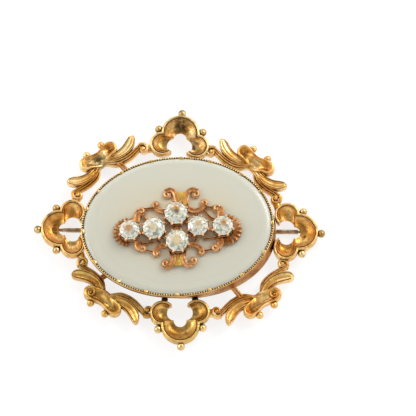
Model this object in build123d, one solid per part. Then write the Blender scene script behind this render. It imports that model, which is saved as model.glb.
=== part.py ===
from build123d import *
import math
import os

# Plan of the agate's box setting
setting_half_length = 22.8
setting_half_width = 17.4

# Reach of the frame, from the brooch's middle to the middle of each trefoil's outer lobe
frame_gap_x = 5.4
frame_gap_y = 6.9
reach_x = setting_half_length + frame_gap_x
reach_y = setting_half_width + frame_gap_y

# Heights of the stamped frame, which the hinge and the catch hold off the surface below
frame_bottom = 1.55
hollow_height = 2.2
sheet_gauge = 0.4
outer_dish_depth = 1.35
side_dish_depth = 1.05
rim_top = hollow_height + sheet_gauge + outer_dish_depth

# Trefoils
outer_lobe_r = 4.6
side_lobe_r = 3.0
side_lobe_in = 2.9
side_lobe_out = 4.1
rim_width = 0.55
frame_wall = 0.55
ball_r = 0.95
ball_seat = 0.2
ball_height = 2.7
outer_bump_r = 1.55
outer_bump_in = 1.15
side_bump_r = 1.95
side_bump_in = 3.0
side_bump_out = 1.1

# Trefoil places: side in x, side in y, shift in x, shift in y, turn in degrees
trefoil_places = (
    (0, 1, 0.02, -0.34, -4),
    (0, -1, 0.45, 0.33, 182.4),
    (-1, 0, -0.13, -0.31, 91.3),
    (1, 0, 0.18, -0.74, -91.9),
)

# Side balls of a trefoil: bearing from its outward direction in degrees
side_ball_bearing = 80

# Scroll sections between the trefoils
leaf_top = 3.55
leaf_edge = 0.3
leaf_hollow = 0.5
ridge_width = 0.9
ridge_top = 3.4
cartouche_top = 4.15
cartouche_r = 1.55
cartouche_edge = 0.35
cartouche_hollow = 0.6
eye_r = 0.55
volute_r = 1.2
volute_top = 3.1
volute_eye_r = 0.55
knot_r = 1.6
knot_top = 3.3
section_ball_r = 0.9
link_width = 1.3
link_top = 3.0

# Points of a section, as shares of the reach in x and the reach in y
section_points = {
    "cartouche_a": (0.577, 0.831),
    "cartouche_b": (0.776, 0.664),
    "knot": (0.645, 0.646),
    "volute_a": (0.282, 0.830),
    "volute_b": (0.819, 0.342),
    "link_a": (0.225, 0.852),
    "link_b": (0.865, 0.263),
    "ball_a": (0.655, 0.872),
    "ball_b": (0.776, 0.764),
}

# Leaves: points at the root, middle and tip as shares, then width at root and tip
leaves = (
    ((0.599, 0.728), (0.449, 0.788), (0.398, 0.942), 2.2, 1.8),
    ((0.681, 0.626), (0.791, 0.506), (0.916, 0.484), 2.2, 1.8),
)

# Ridges: points at the start, middle and end as shares
ridges = (
    ((0.596, 0.704), (0.456, 0.709), (0.343, 0.840)),
    ((0.670, 0.609), (0.709, 0.481), (0.812, 0.374)),
)

# Section places: side in x, side in y, outward shift in x and in y
section_places = (
    (-1, 1, 0.53, -0.15),
    (1, 1, -0.96, -0.77),
    (-1, -1, -1.07, 0.15),
    (1, -1, 0.72, 0.23),
)

# Struts between a section and the box setting: section, foot on the ridge as shares
struts = (
    (0, (0.500, 0.690)),
    (1, (0.712, 0.470)),
    (2, (0.690, 0.510)),
    (3, (0.500, 0.690)),
)
strut_r = 0.34
strut_height = 2.85
wire_offset = 0.32

# Place and heights of the box setting, and how far its foot leans out
setting_x = -0.43
setting_y = -0.57
setting_turn = 4
setting_wall = 0.4
setting_bottom = 2.3
setting_height = 4.2
setting_lean_x = 1.0
setting_lean_y = 0.55
bearing_width = 1.0
bearing_thickness = 0.5
bearing_depth = 1.7
lip_width = 0.25
lip_thickness = 0.3
setting_top = setting_bottom + setting_height
bearing_top = setting_top - bearing_depth
bearing_bottom = bearing_top - bearing_thickness

# Agate plaque
setting_clearance = 0.06
agate_rise = 1.0
shoulder_width = 1.5
shoulder_rise = 0.8
bulge_share = 0.67
dome_share = 0.5
dome_drop_share = 0.25

# Ornament on the agate
ornament_x = -0.68
ornament_y = -1.97
ornament_turn = 4
ornament_reach_x = 15.0
ornament_reach_y = 10.0
ornament_gap = 0.05
plate_thickness = 0.6
scroll_width = 0.85
post_r = 0.6
post_clearance = 0.05
rivet_head_r = 1.1
rivet_head_height = 0.4
hub_r = 1.0
bar_width = 1.1
foot_rim = 0.35

# Stones: name, place as shares of the ornament's reach in x and y, radius
stones = (
    ("crystal_far_left", -0.738, -0.005, 2.45),
    ("crystal_left", -0.353, 0.003, 2.7),
    ("crystal_top", 0.009, 0.352, 2.8),
    ("crystal_bottom", 0.0, -0.337, 2.75),
    ("crystal_right", 0.343, 0.002, 2.45),
    ("crystal_far_right", 0.732, -0.031, 2.45),
)

# Scrolls of the ornament: start, middle and end as shares of its reach in x and y
ornament_scrolls = (
    ((0.195, 0.880), (0.383, 0.985), (0.357, 0.830)),
    ((0.025, 0.880), (-0.127, 1.010), (-0.140, 0.840)),
    ((0.195, 0.760), (0.300, 0.400), (0.480, 0.600)),
    ((0.025, 0.760), (-0.085, 0.400), (-0.300, 0.610)),
    ((0.070, -0.820), (0.270, -0.955), (0.235, -0.780)),
    ((-0.070, -0.820), (-0.260, -0.950), (-0.210, -0.800)),
    ((0.085, -0.640), (0.230, -0.370), (0.370, -0.590)),
    ((-0.085, -0.640), (-0.225, -0.345), (-0.360, -0.570)),
    ((0.700, 0.330), (0.715, 0.520), (0.640, 0.480)),
    ((-0.600, 0.330), (-0.585, 0.560), (-0.525, 0.500)),
    ((0.665, -0.350), (0.670, -0.540), (0.580, -0.520)),
    ((-0.620, -0.260), (-0.625, -0.470), (-0.545, -0.440)),
)

# Curled ends of the scrolls: place as shares, radius
ornament_curls = (
    (0.318, 0.830, 0.75),
    (-0.130, 0.850, 0.75),
    (0.458, 0.620, 0.75),
    (-0.315, 0.640, 0.75),
    (0.228, -0.800, 0.8),
    (-0.208, -0.820, 0.8),
    (0.367, -0.620, 0.75),
    (-0.355, -0.595, 0.75),
    (0.650, 0.470, 0.75),
    (-0.535, 0.510, 0.75),
    (0.575, -0.510, 0.85),
    (-0.560, -0.410, 0.75),
)

# Straight links of the ornament: start and end as shares
ornament_links = (
    ((0.485, 0.500), (0.640, 0.500)),
    ((-0.310, 0.560), (-0.520, 0.530)),
    ((0.390, -0.560), (0.560, -0.530)),
    ((-0.370, -0.520), (-0.540, -0.450)),
    ((0.340, 0.400), (0.343, 0.250)),
    ((-0.200, 0.420), (-0.100, 0.300)),
    ((0.240, -0.360), (0.300, -0.240)),
    ((-0.230, -0.340), (-0.300, -0.240)),
)

# Necks between the paired scrolls: inner and outer end as shares
necks = (
    ((0.110, 0.500), (0.110, 0.880)),
    ((0.0, -0.500), (0.0, -0.830)),
)
neck_width = 2.6
notch_r = 0.6

# Serrated cuffs round the outer stones: place as shares, radius, first and last tooth bearing
cuffs = (
    (-0.745, 0.0, 3.3, 80, 265),
    (0.765, -0.07, 3.5, -95, 75),
)
cuff_teeth = 9
tooth_r = 0.5

# Claw settings of the stones
claw_count = 8
claw_r = 0.24
claw_clearance = 0.05
claw_tip_r = 0.3
claw_lean = 0.2
claw_tip_rise = 0.33
seat_width = 0.5
seat_drop = 0.45
seat_open = 0.9
stone_lift = 1.6

# Cut of the stones
facets_round = 8
girdle_height = 0.15
crown_height = 0.75
pavilion_depth = 1.7
table_share = 0.6
break_share = 0.72
culet_r = 0.25
culet_break_r = 0.5

# Pin stem, its hinge under the right trefoil and its catch under the left
pin_height = 1.15
pin_r = 0.55
pin_tip_r = 0.12
hinge_past_lobe = 2.1
catch_past_lobe = 1.7
point_past_catch = 1.7
point_length = 5.0
pivot_x = reach_x + hinge_past_lobe
catch_x = -reach_x - catch_past_lobe
stem_reach = pivot_x - catch_x + point_past_catch - point_length
neck_r = 0.3
neck_reach = 2.1
knuckle_r = 0.85
knuckle_width = 2.4
rivet_r = 0.3
rivet_clearance = 0.02
rivet_cap_r = 0.5
rivet_cap_height = 0.3
ear_thickness = 0.6
ear_gap = 0.08
ear_length = 1.6
catch_length = 1.8
catch_cheek = 0.8
catch_slot_r = 0.6
solder_depth = 0.25


def circle_through(a, b, c):
    """Centre and radius of the circle through three points."""
    (ax, ay), (bx, by), (cx, cy) = a, b, c
    d = 2 * (ax * (by - cy) + bx * (cy - ay) + cx * (ay - by))
    qa, qb, qc = ax**2 + ay**2, bx**2 + by**2, cx**2 + cy**2
    x = (qa * (by - cy) + qb * (cy - ay) + qc * (ay - by)) / d
    y = (qa * (cx - bx) + qb * (ax - cx) + qc * (bx - ax)) / d
    return (x, y), math.hypot(ax - x, ay - y)


def away(point, centre, distance):
    """The point moved away from the centre by a distance."""
    dx, dy = point[0] - centre[0], point[1] - centre[1]
    size = math.hypot(dx, dy)
    return point[0] + dx / size * distance, point[1] + dy / size * distance


def along(a, b, distance):
    """The point b moved on in the direction from a to b."""
    return away(b, a, distance)


def post(x, y, radius, bottom, top):
    """An upright cylinder."""
    return Pos(x, y, (bottom + top) / 2) * Cylinder(radius, top - bottom)


def raised(face, bottom, top):
    """A flat face raised into a solid between two heights."""
    return extrude(Pos(0, 0, bottom) * face, top - bottom)


def bar_face(a, b, width):
    """A round-ended bar between two points."""
    turn = math.degrees(math.atan2(b[1] - a[1], b[0] - a[0]))
    middle = Pos((a[0] + b[0]) / 2, (a[1] + b[1]) / 2)
    return middle * Rot(0, 0, turn) * SlotCenterToCenter(math.dist(a, b), width)


def band_face(root, middle, tip, root_width, tip_width):
    """A curved band through three points whose width changes from root to tip, with a round tip."""
    centre, _ = circle_through(root, middle, tip)
    middle_width = (root_width + tip_width) / 2
    rows = ((root, root_width), (middle, middle_width), (tip, tip_width))
    outer = [away(p, centre, w / 2) for p, w in rows]
    inner = [away(p, centre, -w / 2) for p, w in rows]
    radial = (outer[2][0] - inner[2][0], outer[2][1] - inner[2][1])
    forward = (-radial[1] / 2, radial[0] / 2)
    if forward[0] * (tip[0] - middle[0]) + forward[1] * (tip[1] - middle[1]) < 0:
        forward = (-forward[0], -forward[1])
    end = (tip[0] + forward[0], tip[1] + forward[1])
    edges = [
        ThreePointArc(outer[0], outer[1], outer[2]),
        ThreePointArc(outer[2], end, inner[2]),
        ThreePointArc(inner[2], inner[1], inner[0]),
        Line(inner[0], outer[0]),
    ]
    return make_face(Curve() + edges)


def dish(x, y, radius, depth, top):
    """The ball that hollows a round dish of a given rim radius and depth."""
    ball = (radius**2 + depth**2) / (2 * depth)
    return Pos(x, y, top + ball - depth) * Sphere(ball)


def leaf(root, middle, tip, root_width, tip_width):
    """A curved leaf with a round channel between its raised edges."""
    body = raised(band_face(root, middle, tip, root_width, tip_width), frame_bottom, leaf_top)
    centre, radius = circle_through(root, middle, tip)
    half = min(root_width, tip_width) / 2 - leaf_edge
    tube = (half**2 + leaf_hollow**2) / (2 * leaf_hollow)
    channel = Pos(centre[0], centre[1], leaf_top + tube - leaf_hollow) * Torus(radius, tube)
    return body - channel


def ridge(start, middle, end):
    """A curved wall with a round-ended plan beside a leaf."""
    return raised(band_face(start, middle, end, ridge_width, ridge_width), frame_bottom, ridge_top)


def cartouche(a, b):
    """The broad clasp of a section: a round-ended block with a trough and an eye at each end."""
    length = math.dist(a, b)
    turn = math.degrees(math.atan2(b[1] - a[1], b[0] - a[0]))
    place = Pos((a[0] + b[0]) / 2, (a[1] + b[1]) / 2) * Rot(0, 0, turn)
    block = raised(SlotCenterToCenter(length, 2 * cartouche_r), frame_bottom, cartouche_top)
    half = cartouche_r - cartouche_edge
    tube = (half**2 + cartouche_hollow**2) / (2 * cartouche_hollow)
    height = cartouche_top + tube - cartouche_hollow
    trough = Pos(0, 0, height) * Rot(0, 90, 0) * Cylinder(tube, length)
    ends = [Pos(side * length / 2, 0, height) * Sphere(tube) for side in (-1, 1)]
    eyes = [
        Pos(side * length / 2, 0, cartouche_top - cartouche_hollow) * Sphere(eye_r)
        for side in (-1, 1)
    ]
    return place * (block - trough - ends + eyes)


def volute(point):
    """A rolled end: a round boss with a ball in its eye."""
    boss = post(point[0], point[1], volute_r, frame_bottom, volute_top)
    return boss + Pos(point[0], point[1], volute_top) * Sphere(volute_eye_r)


def at(share):
    """A point of a section from its shares of the reach."""
    return share[0] * reach_x, share[1] * reach_y


def section():
    """One scroll section, drawn between the right and the top trefoil."""
    point = {name: at(share) for name, share in section_points.items()}
    body = cartouche(point["cartouche_a"], point["cartouche_b"])
    body += post(*point["knot"], knot_r, frame_bottom, knot_top)
    for root, middle, tip, root_width, tip_width in leaves:
        body += leaf(at(root), at(middle), at(tip), root_width, tip_width)
    for start, middle, end in ridges:
        body += ridge(at(start), at(middle), at(end))
    for end, ridge_row in (("a", ridges[0]), ("b", ridges[1])):
        body += volute(point["volute_" + end])
        for far in (point["link_" + end], at(ridge_row[2])):
            face = bar_face(point["volute_" + end], far, link_width)
            body += raised(face, frame_bottom, link_top)
    for name in ("ball_a", "ball_b"):
        body += Pos(*point[name], ball_height) * Sphere(section_ball_r)
    return body


def placed_section(body, side_x, side_y, shift_x, shift_y):
    """A section mirrored and moved to its corner of the frame."""
    if side_x < 0:
        body = mirror(body, about=Plane.YZ)
    if side_y < 0:
        body = mirror(body, about=Plane.XZ)
    return Pos(side_x * shift_x, side_y * shift_y, 0) * body


def trefoil_place(side_x, side_y, shift_x, shift_y, turn):
    """The place of a trefoil, whose outward direction is +Y before it is turned."""
    return Pos(side_x * reach_x + shift_x, side_y * reach_y + shift_y, 0) * Rot(0, 0, turn)


def lobe_rows():
    """Middle, radius and dish depth of each lobe of a trefoil."""
    return (
        (0, 0, outer_lobe_r, outer_dish_depth),
        (side_lobe_out, -side_lobe_in, side_lobe_r, side_dish_depth),
        (-side_lobe_out, -side_lobe_in, side_lobe_r, side_dish_depth),
    )


def trefoil_body():
    """The lobes of a trefoil as full blocks, with their three balls."""
    body = None
    for x, y, radius, _ in lobe_rows():
        lobe = post(x, y, radius, frame_bottom, rim_top)
        body = lobe if body is None else body + lobe
    reach = outer_lobe_r + ball_r - ball_seat
    for bearing in (-side_ball_bearing, 0, side_ball_bearing):
        turn = math.radians(bearing)
        ball = Pos(reach * math.sin(turn), reach * math.cos(turn), ball_height) * Sphere(ball_r)
        body += ball
    return body


def trefoil_cuts():
    """What is cut from a trefoil: its dishes, its hollow back and the opening towards the agate."""
    through = rim_top + 1
    cuts = [post(0, -outer_bump_in, outer_bump_r, -1, through)]
    for side in (-1, 1):
        cuts.append(post(side * side_bump_out, -side_bump_in, side_bump_r, -1, through))
    for x, y, radius, depth in lobe_rows():
        cuts.append(dish(x, y, radius - rim_width, depth, rim_top))
        cuts.append(post(x, y, radius - frame_wall, -1, hollow_height))
    return cuts


def setting_ellipse(inset):
    """The setting's plan, drawn in by an inset."""
    return Ellipse(setting_half_length - inset, setting_half_width - inset)


def oblique(inset, bottom, top):
    """The leaning lower part of the setting between its bottom and its bearing."""
    rise = bearing_bottom - setting_bottom
    lean = Vector(-setting_lean_x, -setting_lean_y, rise).normalized()
    share = (bearing_bottom - bottom) / rise
    face = Pos(setting_lean_x * share, setting_lean_y * share, bottom) * setting_ellipse(inset)
    return extrude(face, (top - bottom) / lean.Z, dir=lean)


def box_setting():
    """The tube that holds the agate, with a bearing below it and a thin lip above."""
    tube = raised(setting_ellipse(0), bearing_bottom, setting_top)
    tube -= raised(setting_ellipse(setting_wall + bearing_width), bearing_bottom - 1, bearing_top + 1)
    tube -= raised(setting_ellipse(setting_wall), bearing_top, setting_top - lip_thickness)
    tube -= raised(setting_ellipse(setting_wall + lip_width), bearing_top, setting_top + 1)
    skirt = oblique(0, setting_bottom, bearing_bottom)
    skirt -= oblique(setting_wall, setting_bottom - 1, bearing_bottom)
    return tube + skirt


def setting_place():
    """The place of the setting and the agate."""
    return Pos(setting_x, setting_y, 0) * Rot(0, 0, setting_turn)


def strut(foot):
    """A pair of wires from a foot on the frame to the middle of the setting's leaning wall."""
    lean = (bearing_bottom - strut_height) / (bearing_bottom - setting_bottom)
    hub = (setting_place() * Pos(setting_lean_x * lean, setting_lean_y * lean)).position
    dx, dy = foot[0] - hub.X, foot[1] - hub.Y
    turn = math.radians(-setting_turn)
    u = dx * math.cos(turn) - dy * math.sin(turn)
    v = dx * math.sin(turn) + dy * math.cos(turn)
    middle = setting_wall / 2
    share = 1 / math.hypot(u / (setting_half_length - middle), v / (setting_half_width - middle))
    length = math.hypot(dx, dy) * (1 - share)
    bearing = math.degrees(math.atan2(dy, dx))
    centre = (hub.X + dx * (1 + share) / 2, hub.Y + dy * (1 + share) / 2, strut_height)
    wire = Rot(0, 90, 0) * Cylinder(strut_r, length)
    pair = Pos(0, wire_offset, 0) * wire + Pos(0, -wire_offset, 0) * wire
    return Pos(*centre) * Rot(0, 0, bearing) * pair


def hinge_ears():
    """Two ears that carry the pin's rivet and that the brooch rests on."""
    inner = knuckle_width / 2 + ear_gap
    top = hollow_height + solder_depth
    ears = []
    for side in (-1, 1):
        middle = side * (inner + ear_thickness / 2)
        ears.append(Pos(pivot_x, middle, top / 2) * Box(ear_length, ear_thickness, top))
    bore = rivet_bore()
    return [ear - bore for ear in ears]


def rivet_bore():
    """The bore through the ears and the pin's knuckle."""
    length = knuckle_width + 4 * ear_thickness
    return Pos(pivot_x, 0, pin_height) * Rot(90, 0, 0) * Cylinder(rivet_r + rivet_clearance, length)


def catch():
    """A plain channel over the pin near its point, open downwards, that the brooch rests on."""
    top = hollow_height + solder_depth
    width = 2 * (catch_slot_r + catch_cheek)
    block = Pos(catch_x, 0, top / 2) * Box(catch_length, width, top)
    groove = Box(catch_length + 1, 2 * catch_slot_r, 2 * (pin_height + catch_slot_r))
    return block - Pos(catch_x, 0, 0) * groove


def mount():
    """The soldered gold mount: trefoils, scroll sections, struts, box setting, ears and catch."""
    places = [trefoil_place(*row) for row in trefoil_places]
    trefoil = trefoil_body()
    cuts = trefoil_cuts()
    one_section = section()
    sections = [placed_section(one_section, *row) for row in section_places]
    body = Part() + [place * trefoil for place in places] + sections
    body -= [place * cut for place in places for cut in cuts]
    feet = []
    for number, share in struts:
        side_x, side_y, shift_x, shift_y = section_places[number]
        x, y = at(share)
        feet.append((side_x * (x + shift_x), side_y * (y + shift_y)))
    body += [strut(foot) for foot in feet]
    inside = setting_place() * oblique(setting_wall / 2, setting_bottom - 1, bearing_bottom)
    body -= inside
    body += setting_place() * box_setting()
    return body + hinge_ears() + catch()


def agate():
    """The agate plaque: an upright girdle, a round shoulder and a low dome, drilled for the post."""
    edge = setting_half_length - setting_wall - setting_clearance
    bottom = bearing_top + setting_clearance
    girdle = setting_top - lip_thickness - setting_clearance
    start = edge - lip_width - setting_clearance
    shoulder = start - shoulder_width
    top = setting_top + agate_rise
    shoulder_top = girdle + shoulder_rise
    bulge = (start - shoulder_width * (1 - bulge_share), girdle + shoulder_rise * bulge_share)
    dome = (shoulder * dome_share, top - (top - shoulder_top) * dome_drop_share)
    edges = [
        Line((0, 0, bottom), (edge, 0, bottom)),
        Line((edge, 0, bottom), (edge, 0, girdle)),
        Line((edge, 0, girdle), (start, 0, girdle)),
        ThreePointArc((start, 0, girdle), (bulge[0], 0, bulge[1]), (shoulder, 0, shoulder_top)),
        ThreePointArc((shoulder, 0, shoulder_top), (dome[0], 0, dome[1]), (0, 0, top)),
        Line((0, 0, top), (0, 0, bottom)),
    ]
    body = revolve(make_face(Curve() + edges), Axis.Z)
    cross = (setting_half_width - setting_wall - setting_clearance) / edge
    body = setting_place() * scale(body, by=(1, cross, 1))
    return body - post(ornament_x, ornament_y, post_r + post_clearance, 0, 2 * top)


def in_ornament(share):
    """A point of the ornament from its shares of the reach."""
    return share[0] * ornament_reach_x, share[1] * ornament_reach_y


def disc(point, radius):
    """A flat disc at a point."""
    return Pos(*point) * Circle(radius)


def scroll_face(start, middle, end):
    """A round-ended band of the scroll's width along an arc."""
    return SlotArc(ThreePointArc(start, middle, end), scroll_width)


def cuff_face(share_x, share_y, radius, first, last):
    """A serrated cuff: a disc with round teeth along part of its edge."""
    x, y = in_ornament((share_x, share_y))
    face = disc((x, y), radius)
    for tooth in range(cuff_teeth):
        turn = math.radians(first + (last - first) * tooth / (cuff_teeth - 1))
        face += disc((x + radius * math.cos(turn), y + radius * math.sin(turn)), tooth_r)
    return face


def plate_face():
    """The plan of the ornament's openwork plate."""
    places = [(in_ornament((x, y)), radius) for _, x, y, radius in stones]
    face = disc((0, 0), hub_r)
    for point, radius in places:
        face += disc(point, radius + foot_rim)
    for near, far in ((0, 1), (1, 2), (1, 3), (2, 3), (2, 4), (3, 4), (4, 5)):
        face += bar_face(places[near][0], places[far][0], bar_width)
    for row in cuffs:
        face += cuff_face(*row)
    for row in ornament_scrolls:
        face += scroll_face(*[in_ornament(share) for share in row])
    for x, y, radius in ornament_curls:
        face += disc(in_ornament((x, y)), radius)
    for start, end in ornament_links:
        face += bar_face(in_ornament(start), in_ornament(end), scroll_width)
    for inner, outer in necks:
        near, far = in_ornament(inner), in_ornament(outer)
        face += bar_face(near, far, neck_width)
    for inner, outer in necks:
        near, far = in_ornament(inner), in_ornament(outer)
        face -= disc(along(near, far, neck_width / 2), notch_r)
    for point, radius in places:
        face -= disc(point, radius - seat_open)
    return face


def claw_setting(radius):
    """The seat of one stone, a ring with claws round it, standing on the plate."""
    ring_top = stone_lift - seat_drop
    ring = post(0, 0, radius + claw_clearance + claw_r / 2, -plate_thickness / 2, ring_top)
    ring -= post(0, 0, radius + claw_clearance + claw_r / 2 - seat_width, -plate_thickness, ring_top + 1)
    tip_height = stone_lift + girdle_height + claw_tip_rise
    reach = radius + claw_clearance + claw_r
    for claw in range(claw_count):
        turn = Rot(0, 0, 360 * (claw + 0.5) / claw_count)
        ring += turn * post(reach, 0, claw_r, -plate_thickness / 2, tip_height)
        ring += turn * Pos(radius + claw_lean, 0, tip_height) * Sphere(claw_tip_r)
    return ring


def plate_bottom():
    """Height of the ornament's underside."""
    return setting_top + agate_rise + ornament_gap


def ornament_place():
    """The place of the ornament on the agate."""
    return Pos(ornament_x, ornament_y, plate_bottom()) * Rot(0, 0, ornament_turn)


def ornament():
    """The rose gold ornament: openwork plate, claw settings and a post riveted behind the agate."""
    body = extrude(plate_face(), plate_thickness)
    for _, x, y, radius in stones:
        body += Pos(*in_ornament((x, y)), plate_thickness) * claw_setting(radius)
    back = bearing_top + setting_clearance - ornament_gap - plate_bottom()
    body += post(0, 0, post_r, back - rivet_head_height / 2, plate_thickness / 2)
    body += post(0, 0, rivet_head_r, back - rivet_head_height, back)
    return ornament_place() * body


def polygon_block(radius, table, culet):
    """A cut block with one ring of facets above its girdle and one below."""
    girdle = RegularPolygon(radius, facets_round, major_radius=False)
    lower = Pos(0, 0, -pavilion_depth) * RegularPolygon(culet, facets_round, major_radius=False)
    top = girdle_height + crown_height
    upper = Pos(0, 0, top) * RegularPolygon(table, facets_round, major_radius=False)
    pavilion = loft([lower.face(), girdle.face()], ruled=True)
    crown = loft([(Pos(0, 0, girdle_height) * girdle).face(), upper.face()], ruled=True)
    return pavilion + extrude(girdle, girdle_height) + crown


def crystal(radius):
    """A round stone with a table, eight main and eight break facets above and below its girdle."""
    main_facets = polygon_block(radius, table_share * radius, culet_r)
    break_facets = polygon_block(radius, break_share * radius, culet_break_r)
    return main_facets & Rot(0, 0, 180 / facets_round) * break_facets


def pin_stem():
    """The pin: a knuckle on the rivet, a thinner neck, a round stem and a taper to the point."""
    knuckle = Pos(pivot_x, 0, pin_height) * Rot(90, 0, 0) * Cylinder(knuckle_r, knuckle_width)
    neck = Pos(pivot_x - neck_reach / 2, 0, pin_height) * Rot(0, 90, 0) * Cylinder(neck_r, neck_reach)
    length = stem_reach - neck_reach
    middle = pivot_x - neck_reach - length / 2
    stem = Pos(middle, 0, pin_height) * Rot(0, 90, 0) * Cylinder(pin_r, length)
    tip = Pos(pivot_x - stem_reach - point_length / 2, 0, pin_height) * Rot(0, -90, 0)
    point = tip * Cone(pin_r, pin_tip_r, point_length)
    return knuckle + neck + stem + point - rivet_bore()


def hinge_rivet():
    """The rivet of the pin's hinge, with a cap outside each ear."""
    half = knuckle_width / 2 + ear_gap + ear_thickness + rivet_clearance
    turned = Pos(pivot_x, 0, pin_height) * Rot(90, 0, 0)
    body = Cylinder(rivet_r, 2 * half + rivet_cap_height)
    for side in (-1, 1):
        body += Pos(0, 0, side * (half + rivet_cap_height / 2)) * Cylinder(rivet_cap_r, rivet_cap_height)
    return turned * body


def write(node, shape):
    """Writes one piece to its own file."""
    shape.label = node
    export_step(shape, f"parts/{node}.step")


def main():
    """Builds each piece and writes it to its own file."""
    os.makedirs("parts", exist_ok=True)
    write("gold_mount", mount())
    write("agate_plaque", agate())
    write("rose_ornament", ornament())
    for node, x, y, radius in stones:
        seat = Pos(*in_ornament((x, y)), plate_thickness + stone_lift)
        write(node, ornament_place() * seat * crystal(radius))
    write("pin_stem", pin_stem())
    write("hinge_rivet", hinge_rivet())


main()
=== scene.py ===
"""The looks of an agate brooch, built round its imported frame.

Shapes are drawn in millimetres and turned to metres when a piece is cast. The studio is in metres,
but for the camera's aim.
"""

import logging
import math
import random
from collections.abc import Callable, Iterable
from dataclasses import dataclass, field, replace
from enum import Enum
from typing import ClassVar

import bmesh
import bpy
from mathutils import Matrix, Vector

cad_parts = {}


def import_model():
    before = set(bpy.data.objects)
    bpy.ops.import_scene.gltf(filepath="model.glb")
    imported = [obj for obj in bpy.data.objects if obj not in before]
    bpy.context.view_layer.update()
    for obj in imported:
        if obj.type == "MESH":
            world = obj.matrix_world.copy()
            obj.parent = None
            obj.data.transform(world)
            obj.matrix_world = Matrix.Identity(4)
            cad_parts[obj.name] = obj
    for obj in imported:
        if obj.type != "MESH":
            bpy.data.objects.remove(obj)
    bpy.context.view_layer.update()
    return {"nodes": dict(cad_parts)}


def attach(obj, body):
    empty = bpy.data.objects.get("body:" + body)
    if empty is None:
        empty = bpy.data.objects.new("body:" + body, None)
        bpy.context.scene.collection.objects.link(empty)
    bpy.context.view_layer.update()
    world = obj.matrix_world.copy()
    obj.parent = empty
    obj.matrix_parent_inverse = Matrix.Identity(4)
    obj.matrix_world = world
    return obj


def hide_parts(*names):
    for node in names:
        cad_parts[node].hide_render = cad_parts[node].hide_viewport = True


log = logging.getLogger("brooch")

MM = 0.001
MERGE_MM = 0.0005
Pair = tuple[float, float]
Outline = list[Pair]
Ring = list[Vector]
Shares = tuple[Pair, ...]
Colour = tuple[float, float, float, float]
Socket = bpy.types.NodeSocket


class Body(Enum):
    """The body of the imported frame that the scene's pieces ride on."""

    BROOCH = "brooch"


class Slot(Enum):
    """The record's material slots, passed when the scene's pieces are cast."""

    YELLOW_GOLD = "yellow_gold"
    ROSE_GOLD = "rose_gold"
    AGATE = "agate"
    CRYSTAL = "crystal"


# Drawing in plan


def unit(angle: float) -> Vector:
    """The unit vector at an angle in radians, in plan."""
    return Vector((math.cos(angle), math.sin(angle), 0))


def plan(x: float, y: float, z: float = 0.0) -> Vector:
    """A point from its coordinates in millimetres."""
    return Vector((x, y, z))


def blend(a: float, b: float, share: float) -> float:
    """The value a share of the way from a to b."""
    return a + (b - a) * share


def ease(share: float) -> float:
    """A smooth step from 0 to 1 over a share from 0 to 1."""
    share = min(1.0, max(0.0, share))
    return share * share * (3 - 2 * share)


@dataclass(frozen=True)
class Round:
    """A circle in plan."""

    x: float
    y: float
    r: float

    def at(self, angle: float) -> Vector:
        """The point of the circle at an angle in radians."""
        return plan(self.x, self.y) + unit(angle) * self.r

    def bearing(self, point: Vector) -> float:
        """The angle of a point, seen from the circle's middle."""
        return math.atan2(point.y - self.y, point.x - self.x)

    def inset(self, depth: float) -> "Round":
        """The circle drawn in by a depth."""
        return Round(self.x, self.y, self.r - depth)

    def crossing(self, other: "Round", side: int) -> Vector:
        """Where two circles cross.

        Args:
            other: the second circle.
            side: 1 for the crossing to the left of the way to the other circle, -1 to the right.

        Returns:
            The crossing point in plan.
        """
        way = plan(other.x - self.x, other.y - self.y)
        apart = way.length
        way.normalize()
        near = (self.r**2 - other.r**2 + apart**2) / (2 * apart)
        off = math.sqrt(max(0.0, self.r**2 - near**2))
        return plan(self.x, self.y) + way * near + plan(-way.y, way.x) * off * side


def turned_on(start: float, end: float) -> float:
    """An end angle, raised until it lies past the start.

    Args:
        start: the start angle in radians.
        end: the end angle in radians.

    Returns:
        The end angle with as many whole turns added as it needs.
    """
    while end <= start:
        end += math.tau
    return end


def arc_path(start: Vector, middle: Vector, end: Vector, count: int) -> Ring:
    """Points along the arc through three points.

    Args:
        start: first point.
        middle: a point on the arc.
        end: last point.
        count: number of points.

    Returns:
        The points, evenly spaced.
    """
    (ax, ay), (bx, by), (cx, cy) = start.xy, middle.xy, end.xy
    d = 2 * (ax * (by - cy) + bx * (cy - ay) + cx * (ay - by))
    qa, qb, qc = ax * ax + ay * ay, bx * bx + by * by, cx * cx + cy * cy
    x = (qa * (by - cy) + qb * (cy - ay) + qc * (ay - by)) / d
    y = (qa * (cx - bx) + qb * (ax - cx) + qc * (bx - ax)) / d
    circle = Round(x, y, math.hypot(ax - x, ay - y))
    first, last = circle.bearing(start), circle.bearing(end)
    turn = (last - first) % math.tau
    if (circle.bearing(middle) - first) % math.tau > turn:
        turn -= math.tau
    return [circle.at(first + turn * n / (count - 1)) for n in range(count)]


def curl_path(middle: Vector, start: float, turn: float, outer: float, inner: float, count: int) -> Ring:
    """Points along a spiral that winds in.

    Args:
        middle: the spiral's eye.
        start: bearing of its first point in radians.
        turn: how far it turns in radians, negative for clockwise.
        outer: first radius.
        inner: last radius.
        count: number of points.

    Returns:
        The points from the outside in.
    """
    shares = [n / (count - 1) for n in range(count)]
    return [middle + unit(start + turn * s) * blend(outer, inner, s**0.85) for s in shares]


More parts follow.
